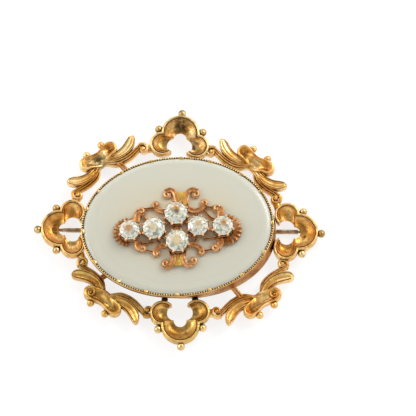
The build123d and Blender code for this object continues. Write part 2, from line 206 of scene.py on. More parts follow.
def flow_path(points: Iterable[Vector], count: int) -> Ring:
    """Points along a smooth line that runs through the given points.

    Args:
        points: the points on the line.
        count: number of points wanted in all.

    Returns:
        The points, with equal shares between each two given ones.
    """
    knots = list(points)
    ends = [knots[0] * 2 - knots[1], *knots, knots[-1] * 2 - knots[-2]]
    path = []
    for n in range(count):
        whole = n / (count - 1) * (len(knots) - 1)
        k = min(int(whole), len(knots) - 2)
        t = whole - k
        a, b, c, d = ends[k : k + 4]
        path.append(
            (b * 2 + (c - a) * t + (a * 2 - b * 5 + c * 4 - d) * t**2 + (b * 3 - a - c * 3 + d) * t**3) / 2
        )
    return path


# Making meshes


def drawn(rings: list[Ring]) -> bmesh.types.BMesh:
    """A closed solid, drawn by extruding one face through a row of rings.

    Args:
        rings: outlines with equal numbers of points, in order.

    Returns:
        The solid's mesh.
    """
    mesh = bmesh.new()
    number = mesh.verts.layers.int.new("number")
    first = [mesh.verts.new(point) for point in rings[0]]
    for n, vert in enumerate(first):
        vert[number] = n
    face = mesh.faces.new(first)
    for ring in rings[1:]:
        grown = bmesh.ops.extrude_face_region(mesh, geom=[face])["geom"]
        for vert in grown:
            if isinstance(vert, bmesh.types.BMVert):
                vert.co = ring[vert[number]]
        if ring is not rings[1]:
            bmesh.ops.delete(mesh, geom=[face], context="FACES_ONLY")
        face = next(part for part in grown if isinstance(part, bmesh.types.BMFace))
    return mesh


def bar(path: Ring, outline: Callable[[float], Outline]) -> bmesh.types.BMesh:
    """A bar whose upright outline follows a path in plan.

    Args:
        path: points along the bar.
        outline: gives the outline, as places across and heights, at a share of the way along.

    Returns:
        The bar's mesh.
    """
    rings = []
    last = len(path) - 1
    for n, point in enumerate(path):
        way = path[min(n + 1, last)] - path[max(n - 1, 0)]
        across = plan(way.y, -way.x).normalized()
        rings.append([point + across * a + plan(0, 0, z) for a, z in outline(n / last)])
    return drawn(rings)


def wire(path: Ring, radius: Callable[[float], float], corners: int = 10) -> bmesh.types.BMesh:
    """A round wire along a path in space.

    Args:
        path: points along the wire.
        radius: gives the radius at a share of the way along.
        corners: number of points round it.

    Returns:
        The wire's mesh.
    """
    rings = []
    last = len(path) - 1
    for n, point in enumerate(path):
        way = (path[min(n + 1, last)] - path[max(n - 1, 0)]).normalized()
        across = way.cross(plan(0, 0, 1))
        across = across.normalized() if across.length > MM else plan(1, 0)
        up = across.cross(way).normalized()
        r = radius(n / last)
        turns = [math.tau * k / corners for k in range(corners)]
        rings.append([point + across * r * math.cos(t) + up * r * math.sin(t) for t in turns])
    return drawn(rings)


def stepped(radii: Iterable[float], scale: float = 1.0) -> Callable[[float], float]:
    """A wire's radius, given point by point.

    Args:
        radii: the radius at each point of the wire's path.
        scale: a factor for all of them.

    Returns:
        The radius as a function of the share of the way along.
    """
    sizes = [radius * scale for radius in radii]
    return lambda share: sizes[round(share * (len(sizes) - 1))]


def domed(width: float, base: float, top: float) -> Outline:
    """The outline of a bar with a round back.

    Args:
        width: its width.
        base: height of its flat underside.
        top: height of its back.

    Returns:
        The outline, anticlockwise.
    """
    half = width / 2
    foot = half * 0.9
    rise = min(half, (top - base) * 0.6)
    steps = 8
    turns = [math.pi * k / steps for k in range(steps + 1)]
    back = [(half * math.cos(t), top - rise + rise * math.sin(t)) for t in turns]
    return [(-foot, base), (foot, base), *back]


def gutter(
    width: float,
    base: float,
    top: float,
    hollow: float,
    lip: float,
    tilt: float = 0.0,
    flute: float = 0.0,
) -> Outline:
    """The outline of a channel between two rounded edges.

    A fluted one has fine ridges along its floor, and inside each edge a narrow groove that reads as
    a dark line.

    Args:
        width: its width.
        base: height of its underside.
        top: height of its edges.
        hollow: depth of the channel.
        lip: width of an edge.
        tilt: how much higher one edge stands than the other.
        flute: height of the three fine ridges along its floor.

    Returns:
        The outline, anticlockwise.
    """
    half = width / 2
    lip = min(lip, half * 0.4)
    edge = [
        (half * 0.88, base),
        (half * 0.97, blend(base, top, 0.45)),
        (half, top - lip),
        (half - lip * 0.12, top - lip * 0.35),
        (half - lip * 0.5, top),
        (half - lip * 0.95, top - lip * 0.3),
    ]
    inner = half - lip * 1.15
    if flute:
        small = min(1.0, half)
        groove = ((0.05, 0.24), (0.14, 0.24), (0.2, 0.15))
        edge += [(inner - out * small, top - down * small) for out, down in groove]
        inner -= 0.22 * small
    steps, ridges = 12, 3
    turns = [math.pi * k / steps for k in range(steps + 1)]
    floor = [flute * abs(math.sin(ridges * t)) - hollow * math.sin(t) ** 0.7 for t in turns]
    channel = [(inner * math.cos(t), top - lip * 0.5 + z) for t, z in zip(turns, floor)]
    far = [(-a, z) for a, z in reversed(edge)]
    return [(a, z + tilt * a / max(half, MM)) for a, z in (*edge, *channel, *far)]


def ball(place: Vector, radius: float, corners: int) -> bmesh.types.BMesh:
    """A ball.

    Args:
        place: its middle.
        radius: its radius.
        corners: number of points round it.

    Returns:
        The ball's mesh.
    """
    mesh = bmesh.new()
    bmesh.ops.create_uvsphere(mesh, u_segments=corners, v_segments=corners * 2 // 3, radius=radius)
    bmesh.ops.translate(mesh, verts=mesh.verts, vec=place)
    return mesh


def soft_block(size: Iterable[float], softening: float) -> bmesh.types.BMesh:
    """A block with softened edges, round the origin.

    Args:
        size: its lengths.
        softening: how far its edges are worn back.

    Returns:
        The block's mesh.
    """
    mesh = bmesh.new()
    bmesh.ops.create_cube(mesh, size=1, matrix=Matrix.Diagonal((*size, 1)))
    bmesh.ops.bevel(
        mesh,
        geom=mesh.edges[:],
        offset=softening,
        offset_type="OFFSET",
        affect="EDGES",
        segments=2,
        profile=0.5,
        material=-1,
    )
    return mesh


def turning(profile: Outline, steps: int) -> bmesh.types.BMesh:
    """A closed solid turned round the upright axis.

    Args:
        profile: radii and heights, anticlockwise; it may start and end on the axis.
        steps: number of steps round.

    Returns:
        The solid's mesh.
    """
    mesh = bmesh.new()
    verts = [mesh.verts.new((r, 0, z)) for r, z in profile]
    pairs = list(zip(verts, verts[1:] + verts[:1]))
    closed = min(r for r, _ in profile) > 0
    edges = [mesh.edges.new(pair) for pair in (pairs if closed else pairs[:-1])]
    bmesh.ops.spin(
        mesh,
        geom=verts + edges,
        cent=(0, 0, 0),
        axis=(0, 0, 1),
        angle=math.tau,
        steps=steps,
        use_merge=True,
    )
    bmesh.ops.remove_doubles(mesh, verts=mesh.verts, dist=MERGE_MM)
    return mesh


def in_scene(name: str, data: bpy.types.ID) -> bpy.types.Object:
    """Puts a new object in the scene.

    Args:
        name: its name.
        data: its mesh, lamp or camera.

    Returns:
        The object.
    """
    made = bpy.data.objects.new(name, data)
    bpy.context.scene.collection.objects.link(made)
    return made


@dataclass
class Casting:
    """A piece in the making, in millimetres."""

    mesh: bmesh.types.BMesh = field(default_factory=bmesh.new)

    def take(self, part: bmesh.types.BMesh) -> None:
        """Joins a part to the piece as it stands, and frees it.

        Args:
            part: the part's mesh.
        """
        kept = bpy.data.meshes.new("kept")
        part.to_mesh(kept)
        part.free()
        self.mesh.from_mesh(kept)
        bpy.data.meshes.remove(kept)

    def add(self, part: bmesh.types.BMesh, place: Matrix | None = None) -> None:
        """Mends a part, puts it in its place and joins it to the piece.

        Args:
            part: the part's mesh.
            place: where it goes.
        """
        bmesh.ops.remove_doubles(part, verts=part.verts, dist=MERGE_MM)
        if place is not None:
            bmesh.ops.transform(part, matrix=place, verts=part.verts)
        bmesh.ops.recalc_face_normals(part, faces=part.faces)
        self.take(part)

    def move(self, place: Matrix) -> None:
        """Moves all that the piece holds so far, and mends its normals."""
        bmesh.ops.transform(self.mesh, matrix=place, verts=self.mesh.verts)
        bmesh.ops.recalc_face_normals(self.mesh, faces=self.mesh.faces)

    def cast(
        self, name: str, material: bpy.types.Material, slot: Slot, stands_for: str, sharp: float = 38
    ) -> None:
        """Turns the piece to metres and puts it on the brooch.

        Args:
            name: the piece's name.
            material: its finish.
            slot: the record's slot that the finish belongs to; not used.
            stands_for: the node that it replaces.
            sharp: angle in degrees from which an edge stays crisp.
        """
        bmesh.ops.scale(self.mesh, vec=(MM, MM, MM), verts=self.mesh.verts)
        mesh = bpy.data.meshes.new(name)
        self.mesh.to_mesh(mesh)
        self.mesh.free()
        mesh.shade_smooth()
        mesh.set_sharp_from_angle(angle=math.radians(sharp))
        mesh.materials.append(material)
        piece = in_scene(name, mesh)
        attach(piece, Body.BROOCH.value)
        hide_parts(stands_for)
        log.info("%s: %d faces", name, len(mesh.polygons))


@dataclass(frozen=True)
class CollaredBall:
    """A ball on a short neck with a collar, as the frame carries all round."""

    r: float
    corners: int
    neck: tuple[tuple[float, float], ...]
    neck_corners: int

    def add(self, casting: Casting, spot: Vector, way: Vector) -> None:
        """Adds the ball and its neck to a piece.

        Args:
            casting: the piece that they join.
            spot: the ball's middle.
            way: the unit vector from the neck to the ball.
        """
        casting.add(ball(spot, self.r, self.corners))
        path = [spot - way * back for back, _ in self.neck]
        casting.add(wire(path, stepped(radius for _, radius in self.neck), self.neck_corners))


# Finishes


def linear(code: str) -> Colour:
    """A linear colour from an sRGB hex code.

    Args:
        code: the colour's code, as #RRGGBB.

    Returns:
        Its linear red, green and blue, and an alpha of 1.
    """
    parts = [int(code[n : n + 2], 16) / 255 for n in (1, 3, 5)]
    r, g, b = [p / 12.92 if p <= 0.04045 else ((p + 0.055) / 1.055) ** 2.4 for p in parts]
    return (r, g, b, 1.0)


def per(size_mm: float) -> float:
    """The scale of a pattern whose marks have a size in millimetres."""
    return 1 / (size_mm * MM)


def node(
    tree: bpy.types.NodeTree, kind: str, inputs: dict[str | int, object] | None = None, **settings: object
) -> bpy.types.Node:
    """Adds a node with its settings and links.

    Args:
        tree: the tree it goes in.
        kind: the node's type.
        inputs: values or sockets for its inputs, by name or number.
        settings: the node's own properties.

    Returns:
        The node.
    """
    made = tree.nodes.new(kind)
    for name, value in settings.items():
        setattr(made, name, value)
    for name, value in (inputs or {}).items():
        if isinstance(value, bpy.types.NodeSocket):
            tree.links.new(value, made.inputs[name])
        else:
            made.inputs[name].default_value = value
    return made


def new_material(name: str) -> tuple[bpy.types.Material, bpy.types.NodeTree]:
    """An empty material and its tree.

    Args:
        name: the material's name.

    Returns:
        The material and its cleared node tree.
    """
    material = bpy.data.materials.new(name)
    material.use_nodes = True
    material.node_tree.nodes.clear()
    return material, material.node_tree


def spread(value: Socket, low: float, high: float, to: float = 1.0, start: float = 0.0) -> Socket:
    """A value's way from one limit to another, held between them.

    Args:
        value: the value.
        low: the limit at which the result starts.
        high: the limit at which the result ends.
        to: the result's end.
        start: the result's start.

    Returns:
        The result.
    """
    ends = {"Value": value, "From Min": low, "From Max": high, "To Min": start, "To Max": to}
    return node(value.id_data, "ShaderNodeMapRange", ends, clamp=True).outputs[0]


def times(a: Socket, b: Socket | float) -> Socket:
    """One value times another."""
    return node(a.id_data, "ShaderNodeMath", {0: a, 1: b}, operation="MULTIPLY").outputs[0]


def plus(value: Socket, factor: float, other: Socket) -> Socket:
    """A value times a factor, added to another value."""
    terms = {0: value, 1: factor, 2: other}
    return node(value.id_data, "ShaderNodeMath", terms, operation="MULTIPLY_ADD").outputs[0]


def over(share: Socket, below: Socket | Colour, above: Socket | Colour) -> Socket:
    """A colour laid over another by a share."""
    colours = {0: share, 6: below, 7: above}
    return node(share.id_data, "ShaderNodeMix", colours, data_type="RGBA").outputs[2]


def noise(place: Socket, size_mm: float, detail: float, roughness: float = 0.6) -> Socket:
    """Soft patches of a size in millimetres."""
    marks = {"Vector": place, "Scale": per(size_mm), "Detail": detail, "Roughness": roughness}
    return node(place.id_data, "ShaderNodeTexNoise", marks).outputs["Fac"]


def distance(place: Socket, middle: Vector, stretch: float = 1.0) -> Socket:
    """How far a place lies from a middle, seen in plan.

    Args:
        place: the place, in metres.
        middle: the middle, in millimetres.
        stretch: how much more the way along Y counts.

    Returns:
        The distance in metres.
    """
    tree = place.id_data
    ends = {0: place, 1: tuple(middle * MM)}
    away = node(tree, "ShaderNodeVectorMath", ends, operation="SUBTRACT").outputs[0]
    flat = node(tree, "ShaderNodeVectorMath", {0: away, 1: (1.0, stretch, 0.0)}, operation="MULTIPLY")
    return node(tree, "ShaderNodeVectorMath", {0: flat.outputs[0]}, operation="LENGTH").outputs["Value"]


@dataclass(frozen=True)
class WornGold:
    """Stamped or cast gold alloy, rubbed pale with a painted highlight on its high places, and browned in its
    hollows by age and painted shade.
    """

    name: str
    light: str
    middle: str
    brown_and_shade: str
    dirt_and_shade: str
    mottle: float = 0.45
    roughness: float = 0.24
    dulling: float = 0.18
    grain_mm: float = 0.16
    patch_mm: float = 1.0
    broad_mm: float = 4.5
    hollow_mm: float = 0.9
    dent_mm: float = 0.04
    bump: float = 0.3
    floor_mm: float = 2.5
    floor_fade_mm: float = 0.75
    crest_mm: float = 3.45
    crest_fade_mm: float = 0.6
    tarnish_and_shade: float = 0.7
    stains: tuple[tuple[float, float, float], ...] = ()
    drift: Pair = (0.4, 0.62)
    patching: Pair = (0.46, 0.68)
    floor_patching: Pair = (0.3, 0.6)
    level_from: Pair = (0.3, 0.8)
    shut_in: Pair = (0.85, 0.45)
    crevice: Pair = (0.52, 0.15)
    crevice_dirt_and_shade: float = 0.8
    stain_patching: Pair = (0.3, 0.5)
    stain_core: float = 0.4
    stain_dirt: float = 0.8
    dulled: Pair = (0.3, 0.75)
    dirt_dulling: float = 0.25
    patch_dents: float = 2.0

    def tone(self, tree: bpy.types.NodeTree, place: Socket, patches: Socket, open_share: Socket) -> Socket:
        """The finish's colour, laid up as age lays it on, with painted shade and a painted highlight.

        Args:
            tree: the material's tree.
            place: the place on the brooch.
            patches: the mottling.
            open_share: how open the place is to its surroundings, less in a crevice; it sets the painted
                shade.

        Returns:
            The colour.
        """
        light, brown_and_shade, dirt_and_shade = linear(self.light), linear(self.brown_and_shade), linear(self.dirt_and_shade)
        height = node(tree, "ShaderNodeSeparateXYZ", {"Vector": place}).outputs["Z"]
        normal = node(tree, "ShaderNodeNewGeometry").outputs["Normal"]
        level = node(tree, "ShaderNodeSeparateXYZ", {"Vector": normal}).outputs["Z"]
        # The alloy drifts in colour, and its crests are rubbed pale, with a painted highlight there too
        tone = over(spread(noise(place, self.broad_mm, 2), *self.drift), linear(self.middle), light)
        rubbed_and_highlit = spread(height, self.crest_mm * MM, (self.crest_mm + self.crest_fade_mm) * MM)
        tone = over(rubbed_and_highlit, tone, light)
        # Brown skin in patches; low, level floors browner still, partly tarnish and partly painted shade
        tone = over(spread(patches, *self.patching, self.mottle), tone, brown_and_shade)
        low = spread(height, (self.floor_mm + self.floor_fade_mm) * MM, self.floor_mm * MM)
        floor_brown_and_shade = spread(patches, *self.floor_patching, self.tarnish_and_shade)
        sunk_tarnish_and_shade = times(times(low, spread(level, *self.level_from)), floor_brown_and_shade)
        tone = over(sunk_tarnish_and_shade, tone, brown_and_shade)
        # Painted shade: browner where the metal is shut in, and darker in the crevices, partly old polish
        tone = over(spread(open_share, *self.shut_in, self.tarnish_and_shade), tone, brown_and_shade)
        tone = over(self.polish_and_shade(open_share), tone, dirt_and_shade)
        for x, y, r in self.stains:
            near = spread(distance(place, plan(x, y)), r * MM, r * self.stain_core * MM)
            share = times(near, spread(patches, *self.stain_patching, self.stain_dirt))
            tone = over(share, tone, dirt_and_shade)
        return tone

    def polish_and_shade(self, open_share: Socket) -> Socket:
        """How much old polish, and painted shade with it, lies at a place, from how open it is."""
        return spread(open_share, *self.crevice, self.crevice_dirt_and_shade)

    def material(self) -> bpy.types.Material:
        """The finish as a material.

        Returns:
            The material: rubbed pale with a painted highlight up high, browner in dished floors, dark in
                crevices; the browning is age and painted shade.
        """
        material, tree = new_material(self.name)
        place = node(tree, "ShaderNodeTexCoord").outputs["Object"]
        patches = noise(place, self.patch_mm, 5)
        shade = {"Distance": self.hollow_mm * MM}
        open_share = node(tree, "ShaderNodeAmbientOcclusion", shade, samples=8).outputs["AO"]
        # Patches and polish dull the metal, and small dents break its highlights
        rough = spread(patches, *self.dulled, self.roughness + self.dulling, self.roughness)
        dents = plus(patches, self.patch_dents, noise(place, self.grain_mm, 3))
        bump = {"Height": dents, "Strength": self.bump, "Distance": self.dent_mm * MM}
        surface = {
            "Base Color": self.tone(tree, place, patches, open_share),
            "Metallic": 1.0,
            "Roughness": plus(self.polish_and_shade(open_share), self.dirt_dulling, rough),
            "Normal": node(tree, "ShaderNodeBump", bump).outputs[0],
        }
        shader = node(tree, "ShaderNodeBsdfPrincipled", surface)
        node(tree, "ShaderNodeOutputMaterial", {"Surface": shader.outputs[0]})
        return material


@dataclass(frozen=True)
class PolishedAgate:
    """Pale grey agate, cut and polished: light enters it, and fine bands, partly painted shade of its curving
    shoulder, show near its edge.
    """

    name: str = "polished pale agate"
    warm: str = "#CFC6AC"
    cool: str = "#CAC8B8"
    band_and_shade: str = "#BDBCB0"
    cloud_mm: float = 14.0
    band_mm: float = 2.6
    band_share: float = 0.35
    wander_mm: float = 4.0
    cooling_mm: Pair = (6, 21)
    cooling: Pair = (0.45, 1.2)
    clouding: float = 0.9
    banding_mm: Pair = (17, 22)
    line: Pair = (0.7, 1.0)
    oval: float = 1.3
    roughness: float = 0.2
    depth: float = 0.35
    depth_mm: float = 2.0

    def material(self) -> bpy.types.Material:
        """The finish as a material.

        Returns:
            The material: a cloudy body, soft inner light and a clean polish.
        """
        material, tree = new_material(self.name)
        place = node(tree, "ShaderNodeTexCoord").outputs["Object"]
        cloud = noise(place, self.cloud_mm, 2, 0.5)
        out = distance(place, plan(0, 0), self.oval)
        # Warm in the middle and cooler further out, with cloudy drifts
        drift = plus(cloud, self.clouding, spread(out, *(mm * MM for mm in self.cooling_mm)))
        body = over(spread(drift, *self.cooling), linear(self.warm), linear(self.cool))
        # Fine bands that wander round the stone near its edge, partly banding and partly painted shade where
        # its shoulder curves
        phase = times(plus(cloud, self.wander_mm * MM, out), math.tau * per(self.band_mm))
        wave = node(tree, "ShaderNodeMath", {0: phase}, operation="SINE").outputs[0]
        near_edge = spread(out, *(mm * MM for mm in self.banding_mm), self.band_share)
        tone = over(times(spread(wave, *self.line), near_edge), body, linear(self.band_and_shade))
        surface = {
            "Base Color": tone,
            "Roughness": self.roughness,
            "IOR": 1.54,
            "Subsurface Weight": self.depth,
            "Subsurface Radius": (1.0, 1.0, 0.9),
            "Subsurface Scale": self.depth_mm * MM,
        }
        shader = node(tree, "ShaderNodeBsdfPrincipled", surface)
        node(tree, "ShaderNodeOutputMaterial", {"Surface": shader.outputs[0]})
        return material


@dataclass(frozen=True)
class CutCrystal:
    """Old cut rock crystal over a bright foil: facets of painted light and shade, some sparkling, round a
    warmer heart.
    """

    name: str
    heart: str
    middle: Vector
    heart_mm: float
    pit_mm: float
    pale: str = "#DFDECF"
    shade: str = "#8C8E7A"
    pit: str = "#4E4834"
    chip_mm: float = 0.42
    shade_line_mm: float = 0.7
    ragged_mm: float = 0.6
    heart_fade_mm: float = 0.9
    heart_core: float = 0.6
    heart_share: float = 0.95
    pit_below_mm: float = 1.0
    pit_fade_mm: float = 0.5
    pit_share: float = 0.9
    shading: Pair = (0.5, 0.95)
    shade_line: Pair = (0.07, 0.0)
    shade_line_share: float = 0.7
    flash: Pair = (0.25, 0.0)
    flash_share: float = 0.45

    def material(self) -> bpy.types.Material:
        """The finish as a material.

        Returns:
            The material: painted facet light and shade and a few mirror chips, over the foil's paleness and
                its tarnished heart.
        """
        material, tree = new_material(self.name)
        place = node(tree, "ShaderNodeTexCoord").outputs["Object"]
        # Painted light and shade of the facets: small chips of pale and shaded colour
        marks = {"Vector": place, "Scale": per(self.chip_mm)}
        chips = node(tree, "ShaderNodeTexVoronoi", marks, feature="F1")
        broken = node(tree, "ShaderNodeSeparateXYZ", {"Vector": chips.outputs["Color"]}).outputs["X"]
        body = over(spread(broken, *self.shading), linear(self.pale), linear(self.shade))
        # Painted shade: thin darker lines between larger patches of the foil
        marks = {"Vector": place, "Scale": per(self.shade_line_mm)}
        shade_lines = node(tree, "ShaderNodeTexVoronoi", marks, feature="DISTANCE_TO_EDGE")
        lines = spread(shade_lines.outputs["Distance"], *self.shade_line, self.shade_line_share)
        body = over(lines, body, linear(self.shade))
        # The tarnished heart, ragged at its edge, and in one stone a dark pit below it
        out = plus(broken, self.ragged_mm * MM, distance(place, self.middle))
        edge, core = self.heart_mm + self.heart_fade_mm, self.heart_mm * self.heart_core
        tone = over(spread(out, edge * MM, core * MM, self.heart_share), body, linear(self.heart))
        if self.pit_mm:
            below = distance(place, self.middle - plan(0, self.pit_below_mm))
            out = plus(broken, self.ragged_mm * MM, below)
            dark = spread(out, (self.pit_mm + self.pit_fade_mm) * MM, self.pit_mm * MM, self.pit_share)
            tone = over(dark, tone, linear(self.pit))
        # A few chips flash like mirrors
        foil = node(tree, "ShaderNodeBsdfPrincipled", {"Base Color": tone, "Roughness": 0.05, "IOR": 1.55})
        glint = node(tree, "ShaderNodeBsdfAnisotropic", {"Color": linear("#FFFFFF"), "Roughness": 0.03})
        flash = spread(broken, *self.flash, self.flash_share)
        mixed = node(tree, "ShaderNodeMixShader", {0: flash, 1: foil.outputs[0], 2: glint.outputs[0]})
        node(tree, "ShaderNodeOutputMaterial", {"Surface": mixed.outputs[0]})
        return material


@dataclass(frozen=True)
class LightTable:
    """Matt white board, lit softly from below, so that shadows on it stay pale."""

    name: str = "matt white light board"
    tone: str = "#949494"
    glow: float = 0.76

    def material(self) -> bpy.types.Material:
        """The finish as a material.

        Returns:
            The material: an even, matt white that glows a little.
        """
        material, tree = new_material(self.name)
        values = {"Base Color": linear(self.tone), "Roughness": 0.9, "Specular IOR Level": 0.0}
        values |= {"Emission Color": linear("#FFFFFF"), "Emission Strength": self.glow}
        shader = node(tree, "ShaderNodeBsdfPrincipled", values)
        node(tree, "ShaderNodeOutputMaterial", {"Surface": shader.outputs[0]})
        return material


PALE_GOLD = WornGold("pale worn gold", "#FFDF9E", "#E4A953", "#98682C", "#3A220C", roughness=0.28, bump=0.65)
TOP_GOLD = WornGold(
    "browned pale gold",
    "#FCDC9C",
    "#D8A458",
    "#785228",
    "#4A3014",
    mottle=0.55,
    roughness=0.3,
    bump=0.5,
    tarnish_and_shade=0.95,
)
DARK_GOLD = WornGold(
    "olive worn gold", "#F6CE7C", "#C89244", "#785424", "#2A1A08", mottle=0.6, roughness=0.28, bump=0.65
)
RICH_GOLD = WornGold(
    "rich worn gold", "#FFD68C", "#DC9C48", "#905E26", "#3C1E0A", mottle=0.55, roughness=0.28, bump=0.65
)
BALL_GOLD = WornGold("dulled ball gold", "#F2D294", "#B88C4A", "#645022", "#26200F", mottle=0.6, patch_mm=0.8)
STRUT_GOLD = WornGold("orange wire gold", "#EAB46C", "#BC7A38", "#6A3E14", "#2E1808", hollow_mm=0.4)
SOLDER_AND_SHADOW = WornGold("blackened solder and painted shadow", "#4A4630", "#2E2A1C", "#1E1A10", "#0C0A06", roughness=0.45)
WALL_GOLD = WornGold(
    "rose tinted wall gold",
    "#D6A872",
    "#AE7E4E",
    "#74502E",
    "#3A2012",
    mottle=0.4,
    crest_mm=5.2,
    tarnish_and_shade=0.0,
)
BEAD_GOLD = WornGold(
    "bright beaded gold",
    "#FFE9A8",
    "#F4BF62",
    "#9A6022",
    "#2A1606",
    mottle=0.3,
    hollow_mm=0.3,
    crest_mm=6.2,
)
NIB_GOLD = WornGold(
    "pressed nib gold", "#F4D28C", "#DAA856", "#8A5E28", "#3A220C", hollow_mm=0.3, crest_mm=6.4
)
GROUND_GOLD = WornGold(
    "browned gold between the beads", "#8A5620", "#5E3612", "#341C08", "#140A04", roughness=0.4
)
ROSE_GOLD = WornGold(
    "worn rose gold",
    "#F9C892",
    "#DFA066",
    "#94602E",
    "#34180A",
    roughness=0.36,
    patch_mm=0.7,
    hollow_mm=0.45,
    floor_mm=7.65,
    crest_mm=8.1,
    tarnish_and_shade=0.95,
)
CUFF_GOLD = WornGold(
    "browned rose gold",
    "#E0A26C",
    "#A86C3C",
    "#603816",
    "#281206",
    mottle=0.75,
    patch_mm=0.5,
    floor_mm=7.6,
    crest_mm=8.2,
)
GREEN_GOLD = WornGold(
    "matted green gold",
    "#ECC468",
    "#C89A48",
    "#84622A",
    "#3A2C10",
    mottle=0.5,
    roughness=0.42,
    bump=0.6,
    crest_mm=9,
)
PIN_METAL = WornGold(
    "drawn pin gold",
    "#EBD3B4",
    "#C09E78",
    "#6E5434",
    "#241808",
    mottle=0.4,
    roughness=0.25,
    hollow_mm=0.2,
)


def cast_mount(casting: Casting, name: str, finish: WornGold, sharp: float = 38) -> None:
    """Casts a piece that stands for a part of the gold mount.

    Args:
        casting: the piece in the making.
        name: its name.
        finish: the gold that it is made of.
        sharp: angle in degrees from which an edge stays crisp.
    """
    casting.cast(name, finish.material(), Slot.YELLOW_GOLD, "gold_mount", sharp)


# The frame's trefoils


@dataclass(frozen=True)
class Trefoil:
    """One dished trefoil of the frame, drawn with its outward side towards +Y."""

    name: str
    place: tuple[float, float, float]
    finish: WornGold
    ball_finish: WornGold
    outer_r: float = 4.6
    side_r: float = 3.0
    side_in: float = 2.9
    side_out: float = 4.1
    outer_bump: Round = Round(0, -1.15, 1.55)
    side_bump: Round = Round(1.1, -3.0, 1.95)
    rim_width: float = 0.95
    bottom: float = 1.55
    rim_top: float = 3.95
    sheet_under: float = 2.2
    outer_depth: float = 1.3
    side_depth: float = 1.15
    crest_share: float = 0.42
    outer_steps: int = 34
    side_steps: int = 26
    knob: CollaredBall = CollaredBall(
        0.95, 28, ((1.425, 0.62), (1.045, 0.62), (0.9025, 0.86), (0.76, 0.86), (0.57, 0.6)), 16
    )
    knob_seat: float = 0.2
    knob_height: float = 2.7
    side_knob_bearing: float = 80

    def lobe(
        self, outline: Round, opening: Round, marks: tuple[Vector, ...], depth: float, steps: int
    ) -> list[Ring]:
        """The rings of one lobe.

        Args:
            outline: the lobe's outline.
            opening: the part of the opening that it faces.
            marks: first and last points on the outline, on the rim's inner side and on the opening.
            depth: depth of its dish.
            steps: number of steps along it.

        Returns:
            The rings from its first mark to its last.
        """
        circles = (outline, outline.inset(self.rim_width), opening)
        spans = []
        for circle, first, last in zip(circles, marks[0::2], marks[1::2]):
            start = circle.bearing(first)
            spans.append((start, turned_on(start, circle.bearing(last))))
        rings = []
        for n in range(steps + 1):
            share = n / steps
            guides = [circle.at(blend(*span, share)) for circle, span in zip(circles, spans)]
            swell = math.sin(math.pi * share) ** 0.55 if 0 < share < 1 else 0.0
            rings.append(self.ring(*guides, depth * blend(self.crest_share, 1, swell)))
        return rings

    def ring(self, outer: Vector, edge: Vector, inner: Vector, depth: float) -> Ring:
        """One cross-section from the outline to the opening.

        Args:
            outer: point on the outline.
            edge: point where the rim ends and the dish starts.
            inner: point on the opening.
            depth: depth of the dish here.

        Returns:
            The closed cross-section.
        """
        top = self.rim_top
        rim = (
            (0.08, self.bottom),
            (0.01, self.bottom + 0.12),
            (0.0, self.bottom + 1.0),
            (0.0, top - 0.8),
            (0.07, top - 0.7),
            (0.07, top - 0.6),
            (0.0, top - 0.5),
            (0.0, top - 0.28),
            (0.08, top - 0.1),
            (0.22, top - 0.01),
            (0.36, top - 0.01),
            (0.5, top - 0.1),
            (0.59, top - 0.28),
            (0.65, top - 0.4),
            (0.72, top - 0.42),
            (0.79, top - 0.32),
            (0.86, top - 0.22),
            (0.93, top - 0.22),
            (1.0, top - 0.34),
        )
        points = [outer.lerp(edge, share) + plan(0, 0, z) for share, z in rim]
        steps = 12
        for n in range(1, steps + 1):
            share = n / steps
            fall = math.sin(math.pi / 2 * min(1.0, share * 1.5)) ** 0.9
            points.append(edge.lerp(inner, share) + plan(0, 0, top - 0.3 - depth * fall))
        points.append(inner + plan(0, 0, self.sheet_under))
        points.append(edge.lerp(inner, 0.5) + plan(0, 0, self.sheet_under))
        points.append(outer.lerp(edge, 0.6) + plan(0, 0, self.sheet_under))
        points.append(outer.lerp(edge, 0.6) + plan(0, 0, self.bottom))
        return points

    def dishes(self) -> bmesh.types.BMesh:
        """The three dished lobes round the opening.

        Returns:
            The mesh of the stamped trefoil.
        """
        outer = Round(0, 0, self.outer_r)
        side = Round(self.side_out, -self.side_in, self.side_r)
        inner_outer, inner_side = outer.inset(self.rim_width), side.inset(self.rim_width)
        notch = outer.crossing(side, 1)
        inner_notch = inner_outer.crossing(inner_side, 1)
        cusp = self.outer_bump.crossing(self.side_bump, 1)
        tip = self.side_bump.crossing(side, -1)
        inner_tip = self.side_bump.crossing(inner_side, -1)
        flip = Matrix.Scale(-1, 3, (1, 0, 0))
        marks = (tip, notch, inner_tip, inner_notch, inner_tip, cusp)
        right = self.lobe(side, self.side_bump, marks, self.side_depth, self.side_steps)
        marks = (notch, flip @ notch, inner_notch, flip @ inner_notch, cusp, flip @ cusp)
        middle = self.lobe(outer, self.outer_bump, marks, self.outer_depth, self.outer_steps)
        left = [[flip @ point for point in ring] for ring in reversed(right)]
        return drawn(right + middle[1:] + left[1:])

    def build(self) -> None:
        """Builds the trefoil with its three balls and puts it in its place."""
        x, y, turn = self.place
        place = Matrix.Translation((x, y, 0)) @ Matrix.Rotation(math.radians(turn), 4, "Z")
        dish, knobs = Casting(), Casting()
        dish.add(self.dishes())
        reach_out = self.outer_r + self.knob.r - self.knob_seat
        for bearing in (-self.side_knob_bearing, 0, self.side_knob_bearing):
            way = unit(math.pi / 2 - math.radians(bearing))
            self.knob.add(knobs, way * reach_out + plan(0, 0, self.knob_height), way)
        for part, name, finish in ((dish, "", self.finish), (knobs, "_balls", self.ball_finish)):
            part.move(place)
            cast_mount(part, self.name + name, finish)


# The frame's scroll sections


@dataclass(frozen=True)
class Branch:
    """One half of a scroll section: a leaf, the ribs beside it and the curl that they end in."""

    leaf: tuple[Vector, Vector, Vector]
    ribs: tuple[Vector, ...]
    inward: int
    curl: Vector
    curl_start: float
    curl_turn: float
    link: Vector


